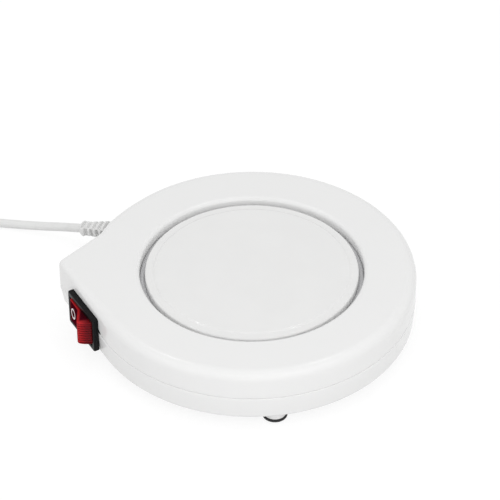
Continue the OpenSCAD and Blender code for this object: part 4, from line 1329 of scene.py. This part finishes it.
def spline(knots: Points, stops: Points) -> Points:
    """Return points on the natural cubic spline through knots.

    The parameter is the length of the chords between knots. The second derivatives come from one system of
    equations, with zero at both ends.

    Args:
        knots: Array of points that the curve passes through.
        stops: Parameters to evaluate, as numbers of a knot with a fraction.

    Returns:
        One point for each stop.
    """
    gaps = np.linalg.norm(np.diff(knots, axis=0), axis=1)
    count = len(knots)
    system, right = np.eye(count), np.zeros((count, 3))
    inner = np.arange(1, count - 1)
    system[inner, inner - 1], system[inner, inner + 1] = gaps[:-1], gaps[1:]
    system[inner, inner] = 2 * (gaps[:-1] + gaps[1:])
    slopes = np.diff(knots, axis=0) / gaps[:, None]
    right[inner] = 6 * np.diff(slopes, axis=0)
    bend = np.linalg.solve(system, right)
    low = np.clip(np.floor(stops).astype(int), 0, count - 2)
    h = gaps[low][:, None]
    b = (stops - low)[:, None]
    a = 1 - b
    return (a * knots[low] + b * knots[low + 1]
            + ((a ** 3 - a) * bend[low] + (b ** 3 - b) * bend[low + 1]) * h ** 2 / 6)


@dataclass
class StrainRelief:
    """Moulded relief of the lead: a flange inside the wall, a neck, and a drooping slotted tail."""

    root: Place
    bend: float = 12.9
    droop: float = 13.95
    drop: float = 1.2
    flange: tuple[float, float, float, float] = (8.4, 7.2, -4.2, -2.6)
    neck: tuple[float, float, float] = (5.4, 5.2, 3.0)
    start: float = 2.0
    end: float = 19.85
    root_size: tuple[float, float] = (8.0, 7.2)
    end_size: tuple[float, float] = (4.9, 4.5)
    lip: tuple[float, float] = (1.9, 0.4)
    core: float = 1.55
    slots: tuple[int, float, float, float] = (5, 2.4, 2.6, 1.4)
    side_half: float = 1.5
    root_edge: float = 0.5
    end_edge: float = 0.8
    neck_taper: float = 0.9

    def tail_place(self) -> Place:
        """Return the tail's frame, with x along the lead and its origin a little below the neck's."""
        return self.root.inside(Place.turned((0, 0, -self.drop), self.bend, self.droop))

    def slot_mask(self, x: Points, shift: float) -> Points:
        """Return 1 within the slots along the tail and 0 between them, with soft edges 0.24 wide."""
        count, first, pitch, width = self.slots
        starts = self.end - first - pitch * np.arange(count) + shift
        inside = np.minimum(x[:, None] - starts[None], starts[None] + width - x[:, None])
        return smooth((inside + 0.1) / 0.24).max(axis=1)

    def tail(self) -> Shell:
        """Return the tail as rings along the lead.

        The section shrinks evenly from the root to the end and swells into a round lip there. Within a slot
        the points are pressed to the core: above and below in the slots, and at the sides half a pitch on.
        """
        root_in, root_x = rounding(self.root_edge, 7)
        end_x, end_in = rounding(self.end_edge, 7)
        middle = np.linspace(self.start + self.root_edge + 0.1, self.end - self.end_edge - 0.1, 260)
        x = np.concatenate([self.start + root_x, middle, self.end - end_x])
        shrink = np.concatenate([root_in, np.zeros(260), end_in])
        share = (x - self.start) / (self.end - self.start)
        lip_l, lip_out = self.lip
        swell = lip_out * smooth((x - self.end + lip_l + 0.5) / 0.5)
        unit = even_ring(2.0, 2.0, 0.8, 120)
        wide, high = ((root + (end - root) * share) / 2 + swell - shrink
                      for root, end in zip(self.root_size, self.end_size))
        y, z = wide[:, None] * unit[None, :, 0], high[:, None] * unit[None, :, 1]
        above = self.slot_mask(x, 0.0)[:, None]
        beside = self.slot_mask(x, -self.slots[2] / 2)[:, None]
        window = smooth((self.side_half + 0.2 - np.abs(z)) / 0.4)
        z = z + above * (np.clip(z, -self.core, self.core) - z)
        y = y + beside * window * (np.clip(y, -self.core, self.core) - y)
        return Shell.from_rings(along_x(x, y, z))

    def build(self, bench: Bench, plastic: bpy.types.Material) -> bpy.types.Object:
        """Make the relief as one object of flange, neck and tail."""
        width, height, back, front = self.flange
        neck_w, neck_h, neck_x = self.neck
        neck = rounded_rect(neck_w, neck_h, 0.8, 6)
        end = upright(neck * self.neck_taper, neck_x + 0.4) - np.array([0, 0, self.drop + 0.7])
        blocks = [beam(rounded_rect(width, height, 1.0, 6), back, front),
                  Shell.from_rings(np.array([upright(neck, front - 0.3), upright(neck, 0.9), end]))]
        shells = [b.moved(self.root) for b in blocks] + [self.tail().moved(self.tail_place())]
        return bench.finish(bench.mesh("relief_tail", shells, 50), "housing", plastic, "cord_white",
                            ["strain_relief"])


@dataclass
class MainsLead:
    """Free mains lead: it droops out of the relief, lies in a tied coil of two layers, and has a plug."""

    relief: StrainRelief
    diameter: float = 3.4
    route: tuple[tuple[float, float, float], ...] = (
        (-75, 50.1, 4.95), (-80, 51.9, 3.8), (-85, 53.6, 2.85), (-90, 55.0, 2.2), (-95, 56.1, 1.85),
        (-99, 56.9, 1.72), (-106, 58.9, 1.72), (-112, 60.8, 1.72), (-118, 62.7, 1.72))
    plug_route: tuple[tuple[float, float, float], ...] = (
        (-155.1, 34.0, 5.3), (-155.0, 27.7, 5.6), (-155.0, 20.0, 6.3), (-155.0, 14.0, 6.85),
        (-155.0, 8.05, 6.85))
    coil: tuple[float, float] = (-131.0, 41.0)
    first_angle: float = 72.7
    last_angle: float = 2340.0
    outer_r: float = 24.1
    pitch: float = 3.42
    tie_angle: float = 250.0
    tie: tuple[float, float, float, float] = (12.4, 24.5, 5.0, 0.34)
    tie_slack: float = 1.15
    tie_hump: tuple[float, float, float] = (0.36, 15.0, 30.0)
    layer_turn: float = 120.0
    plug: tuple[float, float, float] = (-155.0, 8.0, 6.85)
    plug_size: tuple[float, float, float] = (37.0, 35.3, 13.7)
    plug_form: tuple[tuple[float, float, float], ...] = (
        (0, .148, .38), (.27, .21, .54), (.324, .425, .7), (.405, .567, .79), (.676, .887, .927),
        (.838, 1, 1), (.978, 1, 1), (1, .955, .883))
    plug_ends: tuple[tuple[float, float], ...] = ((0.02, 0.7), (0.025, 0.9))
    neck_rings: tuple[float, float, float, float, float] = (1.4, 9.6, 2.0, -0.2, 0.45)
    grip_ribs: tuple[float, float, float, float, float] = (17.5, 30.5, 2.2, 0.2, 0.35)
    pins: tuple[float, float, float, float] = (9.3, 2.0, 10.0, 19.0)
    pin_tip: float = 0.4

    def coil_points(self) -> Points:
        """Return the coil's centreline: in along the lower layer, and out again along the upper one.

        The radius falls by a pitch each turn to the middle angle and grows back. The height rises by a pitch
        over layer_turn degrees about the middle angle, and by tie_hump where the tie passes under.
        """
        angle = np.arange(self.first_angle, self.last_angle + 0.1, 7.5)
        angle = np.append(angle[:-1], self.last_angle)
        turned = np.minimum(angle - self.first_angle, self.last_angle - angle)
        radius = self.outer_r - self.pitch * turned / 360
        middle = (self.first_angle + self.last_angle) / 2
        layer = smooth((angle - middle + self.layer_turn / 2) / self.layer_turn)
        from_tie = np.abs((angle - self.tie_angle + 180) % 360 - 180)
        rise, near, fade = self.tie_hump
        hump = rise * smooth(1 - (from_tie - near) / fade)
        height = self.diameter / 2 + 0.02 + (self.pitch + 0.03) * layer + hump
        ring = radius[:, None] * bearing(angle)
        return np.column_stack([ring + np.array(self.coil), height])

    def centreline(self) -> Points:
        """Return the whole lead's centreline: 26 points to the coil, the coil, and 12 on to the plug."""
        tail = self.relief.tail_place()
        start = [tail.out(np.array([self.relief.end + gap, 0, 0])) for gap in (0.05, 4.0)]
        coil = self.coil_points()
        knots = np.vstack([start, np.array(self.route), coil, np.array(self.plug_route)])
        first = len(start) + len(self.route)
        last = first + len(coil) - 1
        stops = np.concatenate([np.linspace(0, first, 26)[:-1], np.arange(first, last),
                                np.linspace(last, len(knots) - 1, 12)])
        return spline(knots, stops)

    def jacket(self, bench: Bench, points: Points) -> bpy.types.Object:
        """Make the lead as a curve of one open spline with a round bevel."""
        curve = bpy.data.curves.new("mains_lead", "CURVE")
        curve.dimensions = "3D"
        line = curve.splines.new("POLY")
        line.points.add(len(points) - 1)
        line.points.foreach_set("co", np.column_stack([bench.row(points), np.ones(len(points))]).ravel())
        line.use_smooth = True
        curve.bevel_depth, curve.bevel_resolution, curve.use_fill_caps = self.diameter / 2 * MM, 5, True
        return scene_object("mains_lead", curve)

    def tie_band(self) -> Shell:
        """Return the tie: a rounded-rectangle loop round the bundle, carried across the band's width."""
        inner, outer, width, thick = self.tie
        top = self.diameter + self.pitch + self.tie_slack
        middle = np.array([(inner + outer) / 2, top / 2])
        across, within = (even_ring(outer - inner - 2 * t, top - 2 * t, corner, 72) + middle
                          for t, corner in ((0.0, 2.2), (thick, 1.9)))
        half, bevel = width / 2, 0.12
        side = [(0.0, half - bevel), (bevel, half), (1 - bevel, half), (1.0, half - bevel)]
        levels = side + [(inset, -y) for inset, y in side[::-1]]
        rings = []
        for inset, y in levels:
            shape = across + (within - across) * inset
            rings.append(np.column_stack([shape[:, 0], np.full(len(shape), y), shape[:, 1]]))
        place = Place.turned((self.coil[0], self.coil[1], 0), self.tie_angle)
        return Shell.from_rings(place.out(np.array(rings)), Ends.LOOP)

    def plug_shell(self) -> Shell:
        """Return the plug's body.

        Its sections follow plug_form, smoothed over 23 of 400 stops, and are rounded at both ends. Rings are
        moulded round its neck, and finger ribs into its two broad faces.
        """
        length, width, height = self.plug_size
        form = np.array(self.plug_form)[:-1]
        side, face = rounding(1.0, 7)
        (neck_x, neck_in), (front_x, front_in) = self.plug_ends
        middle = np.linspace(0.025, 0.972, 230)
        share = np.concatenate([neck_x * face, middle, 1.0 - front_x * side])
        pull = np.concatenate([neck_in * side, np.zeros(len(middle)), front_in * face])
        dense, window = np.linspace(0, 1, 400), np.hanning(23)

        def half_size(column_of_form: int, full: float) -> Points:
            """Return half a measure of the plug at every stop."""
            rough = np.interp(dense, form[:, 0], form[:, column_of_form])
            soft = np.convolve(np.pad(rough, len(window) // 2, "edge"), window / window.sum(), "valid")
            return np.interp(share, dense, soft) * full / 2 - pull

        half_w, half_h = half_size(1, width), half_size(2, height)
        x = share * length
        neck = self.moulded(x, *self.neck_rings)
        unit = even_ring(2.0, 2.0, 0.86, 128)
        y, z = ((half - neck)[:, None] * unit[None, :, k] for k, half in enumerate((half_w, half_h)))
        grip = self.moulded(x, *self.grip_ribs)
        broad = smooth((half_w[:, None] * 0.62 - np.abs(y)) / 1.2) * (np.abs(z) > half_h[:, None] * 0.6)
        return Shell.from_rings(along_x(x, y, z - np.sign(z) * grip[:, None] * broad))

    @staticmethod
    def moulded(x: Points, first: float, last: float, pitch: float, share: float, depth: float) -> Points:
        """Return how deep soft-edged grooves go into the plug: depth in a groove and 0 on a rib.

        Args:
            x: Distances along the plug.
            first: Where the grooves start.
            last: Where they end.
            pitch: Distance from rib to rib.
            share: What is added to sin(2 pi x / pitch): more of it makes broader grooves.
            depth: Depth of a groove.

        Returns:
            One depth for each distance.
        """
        inside = smooth(last - x) * smooth(x - first)
        return depth * inside * smooth((np.sin(2 * np.pi * x / pitch) + share) / 0.6)

    def pin_shells(self, first: float, last: float, tip: float) -> list[Shell]:
        """Return the round parts of both pins between two distances, with a rounded tip of a given length."""
        pitch, radius = self.pins[:2]
        short, inward = rounding(1.0, 7)
        end = zip(radius * (1 - self.pin_tip * inward), last - tip * short)
        rings = revolve(np.array([(radius, first), *end]), 48)[..., [2, 0, 1]]
        return [Shell.from_rings(rings + np.array([0, side * pitch, 0])) for side in (-1, 1)]

    def build(self, bench: Bench, jacket: bpy.types.Material, tie: bpy.types.Material,
              nickel: bpy.types.Material) -> list[bpy.types.Object]:
        points = self.centreline()
        lead = bench.finish(self.jacket(bench, points), "housing", jacket, "cord_white",
                            ["power_cord", "cord_coil"])
        band = bench.finish(bench.mesh("coil_tie", [self.tie_band()], 60), "housing", tie, "tie_black",
                            ["cord_tie"])
        at_plug = Place.turned(self.plug, -90)
        length, bare = self.plug_size[0], self.pins[2]
        body = [self.plug_shell()] + self.pin_shells(length - 0.5, length + bare, 0.01)
        plug = bench.finish(bench.mesh("flat_plug", [s.moved(at_plug) for s in body], 50), "housing", jacket,
                            "cord_white", ["plug_body"])
        metal = [s.moved(at_plug) for s in self.pin_shells(length + bare, length + self.pins[3], 1.0)]
        pins = bench.finish(bench.mesh("plug_pin_metal", metal), "housing", nickel, "nickel", ["plug_pins"])
        self.diameter * MM
        return [lead, band, plug, pins]


# ---- Studio ----------------------------------------------------------------------------------------------


@dataclass
class Softbox:
    """Square area light that looks at the object."""

    name: str
    spot: tuple[float, float, float]
    size: float
    watts: float
    target: tuple[float, float, float] = (0.0, 0.0, 0.015)

    def build(self) -> bpy.types.Object:
        """Make the light."""
        lamp = bpy.data.lights.new(self.name, "AREA")
        lamp.shape, lamp.size, lamp.energy = "SQUARE", self.size, self.watts
        thing = scene_object(self.name, lamp)
        out = np.array(self.spot) - np.array(self.target)
        thing.matrix_world = look(self.spot, out / np.linalg.norm(out), np.array([0.0, 0.0, 1.0]))
        return thing


def look(spot: Sequence[float], back: Points, up: Points) -> Matrix:
    """Return the matrix of a camera or lamp at a spot, whose own z axis is back."""
    right = np.cross(up, back)
    right /= np.linalg.norm(right)
    turned = np.column_stack([right, np.cross(back, right), back])
    matrix = np.eye(4)
    matrix[:3, :3], matrix[:3, 3] = turned, spot
    return Matrix(matrix.tolist())


@dataclass
class Studio:
    """Camera, pale floor, world and six square lamps, two of them small and high at the back."""

    bench: Bench
    lens: float = 191.41
    eye: tuple[float, float, float] = (0.0, -768.05, 645.48)
    up: tuple[float, float, float] = (0.0046711, 0.62354488, 0.7817736)
    forward: tuple[float, float, float] = (-0.000666, 0.781784, -0.623549)
    floor_grey: float = 0.8
    shown_grey: float = 0.2
    floor_glow: float = 0.84
    soft_level: float = 0.75
    white_level: float = 1.0
    lamps: tuple[Softbox, ...] = (
        Softbox("key_right", (0.45, -0.50, 0.55), 0.5, 0.5),
        Softbox("fill_left", (-0.62, -0.50, 0.40), 0.7, 0.6),
        Softbox("front_near", (0.10, -0.46, 0.26), 0.5, 0.52),
        Softbox("overhead", (0.0, -0.1, 1.2), 1.0, 0.2),
        Softbox("strip_left", (-0.33, 0.31, 1.00), 0.08, 0.4),
        Softbox("strip_right", (0.27, 0.29, 1.02), 0.08, 0.45),
    )

    def camera(self) -> bpy.types.Object:
        """Make the camera and give it to the scene."""
        lens = bpy.data.cameras.new("camera")
        lens.lens, lens.sensor_width, lens.sensor_fit = self.lens, 36.0, "HORIZONTAL"
        lens.clip_start, lens.clip_end = 0.05, 20.0
        thing = scene_object("camera", lens)
        spot = self.bench.row(np.array(self.eye))
        thing.matrix_world = look(tuple(spot), -np.array(self.forward), np.array(self.up))
        bpy.context.scene.camera = thing
        return thing

    def floor(self) -> bpy.types.Object:
        """Make the floor: a broad sheet just under the feet that shows white, with the object's shadow."""
        mesh = bpy.data.meshes.new("floor")
        half, low = 3.0, -0.0002
        mesh.from_pydata([(-half, -half, low), (half, -half, low), (half, half, low), (-half, half, low)], [],
                         [(0, 1, 2, 3)])
        thing = scene_object("floor", mesh)
        white = bpy.data.materials.new("floor_white")
        paint = Paint(white)
        plain, shown = (paint.node("ShaderNodeBsdfDiffuse", None, {"Color": (grey, grey, grey, 1)})
                        for grey in (self.floor_grey, self.shown_grey))
        glow = paint.node("ShaderNodeEmission", None, {"Strength": self.floor_glow})
        lit = paint.node("ShaderNodeAddShader", None, {0: shown.outputs[0], 1: glow.outputs[0]})
        mixed = paint.node("ShaderNodeMixShader", None,
                           {0: paint.seen(), 1: plain.outputs[0], 2: lit.outputs[0]})
        paint.node("ShaderNodeOutputMaterial", None, {"Surface": mixed.outputs[0]})
        mesh.materials.append(white)
        return thing

    def world(self) -> bpy.types.World:
        """Make the world: white to camera, gloss and glass, and a softer level on the object."""
        world = bpy.data.worlds.new("studio")
        bpy.context.scene.world = world
        paint = Paint(world)
        soft, white = (paint.node("ShaderNodeBackground", None, {"Color": (1, 1, 1, 1), "Strength": level})
                       for level in (self.soft_level, self.white_level))
        mixed = paint.node("ShaderNodeMixShader", None,
                           {0: paint.seen(), 1: soft.outputs[0], 2: white.outputs[0]})
        paint.node("ShaderNodeOutputWorld", None, {"Surface": mixed.outputs[0]})
        return world

    def build(self) -> None:
        """Make the camera, floor, world and lamps, and set the plain view transform."""
        self.camera()
        self.floor()
        self.world()
        for lamp in self.lamps:
            lamp.build()
        bpy.context.scene.view_settings.view_transform = "Standard"


# ---- Inner pieces ----------------------------------------------------------------------------------------


@dataclass
class InnerPieces:
    """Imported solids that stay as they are, each with its own finish."""

    nodes: dict[str, str]

    def dress(self, packed: dict[str, bpy.types.Object], made: dict[str, bpy.types.Material]) -> None:
        """Give every kept node its finish."""
        for node, slot in self.nodes.items():
            slots = packed[node].material_slots
            if not slots:
                packed[node].data.materials.append(made[slot])
            for place in packed[node].material_slots:
                place.material = made[slot]
            LOG.info("node %s keeps its solid, finish %s", node, slot)


def finishes(centre: tuple[float, float], pivot: Sequence[tuple[float, float, float]]) -> list[Finish]:
    """Return every finish, each with the name of its slot.

    Args:
        centre: Middle of the plate in the row frame, in metres.
        pivot: Middle of the rocker's pivot in the row frame, in metres, then the directions along the rocker
            and out of it.

    Returns:
        One finish for each slot.
    """
    return [
        MouldedPlastic("housing_white", (0.86, 0.86, 0.857), 0.21, coat=0.04, specular=0.32),
        Rubber("foot_rubber", (0.018, 0.018, 0.019)),
        Enamel("plate_enamel", (0.84, 0.84, 0.835), centre, 0.034),
        Rubber("seal_silicone", (0.58, 0.58, 0.59), 0.55, 0.05),
        Mineral("element_mica", (0.46, 0.36, 0.22), (0.62, 0.54, 0.38), 1.4, 0.35),
        Felt("felt", (0.72, 0.70, 0.64)),
        Metal("steel", (0.60, 0.60, 0.61), Working.ROLLED, 0.28),
        Metal("screw_steel", (0.66, 0.65, 0.62), Working.ZINCED, 0.25),
        Metal("brass", (0.72, 0.53, 0.24), Working.ROLLED, 0.25),
        Mineral("ceramic", (0.78, 0.75, 0.68), (0.66, 0.62, 0.54), 0.5, 0.3),
        WovenSleeve("sleeve_white", (0.78, 0.77, 0.72)),
        MouldedPlastic("switch_black", (0.007, 0.007, 0.0075), 0.34, 0.4, 0.006, 0.15, 0.0, 0.09),
        # Rocker: the bright red is painted light at its ends and sides, the dark red is where none is
        # painted.
        PaintedLightPlastic("rocker_red", (0.55, 0.024, 0.028), (0.055, 0.0024, 0.0070), *pivot),
        PrintedMark("mark_ink", (0.90, 0.80, 0.81)),
        NeonGlass("lamp_glass", (0.95, 0.62, 0.38)),
        CordJacket("cord_white", (0.81, 0.81, 0.805)),
        MouldedPlastic("plunger_ivory", (0.74, 0.70, 0.58), 0.4),
        MouldedPlastic("clamp_white", (0.74, 0.74, 0.72), 0.4),
        CordJacket("wire_brown", (0.13, 0.045, 0.018), 0.4),
        CordJacket("wire_red", (0.45, 0.03, 0.02), 0.4),
        CordJacket("wire_blue", (0.02, 0.09, 0.35), 0.4),
        Rubber("tie_black", (0.02, 0.02, 0.022), 0.6, 0.15),
        Metal("nickel", (0.70, 0.68, 0.64), Working.TURNED, 0.16),
    ]


INNER = {
    "case_screws": "screw_steel", "heating_element": "element_mica", "element_tabs": "brass",
    "insulation_pad": "felt", "heat_shield": "steel", "plate_nuts": "screw_steel", "thermostat": "ceramic",
    "thermostat_strap": "steel", "thermal_fuse": "nickel", "fuse_sleeve": "sleeve_white",
    "switch_terminals": "brass", "crimp_receptacles": "steel", "rocker_spring": "steel",
    "rocker_plunger": "plunger_ivory", "switch_lamp": "lamp_glass", "contact_lever": "brass",
    "cord_clamp": "clamp_white", "clamp_screws": "screw_steel", "inner_cord": "cord_white",
    "live_wire": "wire_brown", "heater_wires": "wire_red", "neutral_wires": "wire_blue",
    "wire_splice": "ceramic",
}
RELIEF_BEARING = 142.1
FOOT_CIRCLE = 54.6
FOOT_BEARINGS = (-81.5, 8.5, 98.5)
TAIL_FOOT = (-59.97, 3.71)


def main() -> None:
    """Load the frame, make the camera and the cord first, then every other piece."""
    logging.basicConfig(level=logging.INFO, format="%(name)s: %(message)s")
    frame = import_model()
    low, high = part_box("heater_plate")
    centre = ((low[0] + high[0]) / 2, (low[1] + high[1]) / 2)
    bench = Bench(centre)
    Studio(bench).build()
    plan = Plan()
    seat = SwitchSeat(plan)
    switch = RockerSwitch(seat)
    rocker = switch.rocker_place()
    pivot = [tuple(bench.row(rocker.origin)), tuple(rocker.axes[:, 1]), tuple(rocker.axes[:, 0])]
    made = {finish.name: finish.material() for finish in finishes(centre, pivot)}
    root = (*(plan.body_r * bearing(RELIEF_BEARING)), PARTING_Z)
    relief = StrainRelief(Place.turned(root, RELIEF_BEARING))
    MainsLead(relief).build(bench, made["cord_white"], made["tie_black"], made["nickel"])
    relief.build(bench, made["cord_white"])

    feet = [tuple(FOOT_CIRCLE * bearing(a)) for a in FOOT_BEARINGS] + [TAIL_FOOT]
    Housing(plan, seat, relief.root, feet).build(bench, made["housing_white"])
    RubberFeet(feet).build(bench, made["foot_rubber"])
    HotPlate().build(bench, made["plate_enamel"], made["seal_silicone"])
    switch.build(bench, made["switch_black"], made["rocker_red"], made["mark_ink"])
    InnerPieces(INNER).dress(frame["nodes"], made)


if __name__ == "__main__":
    main()
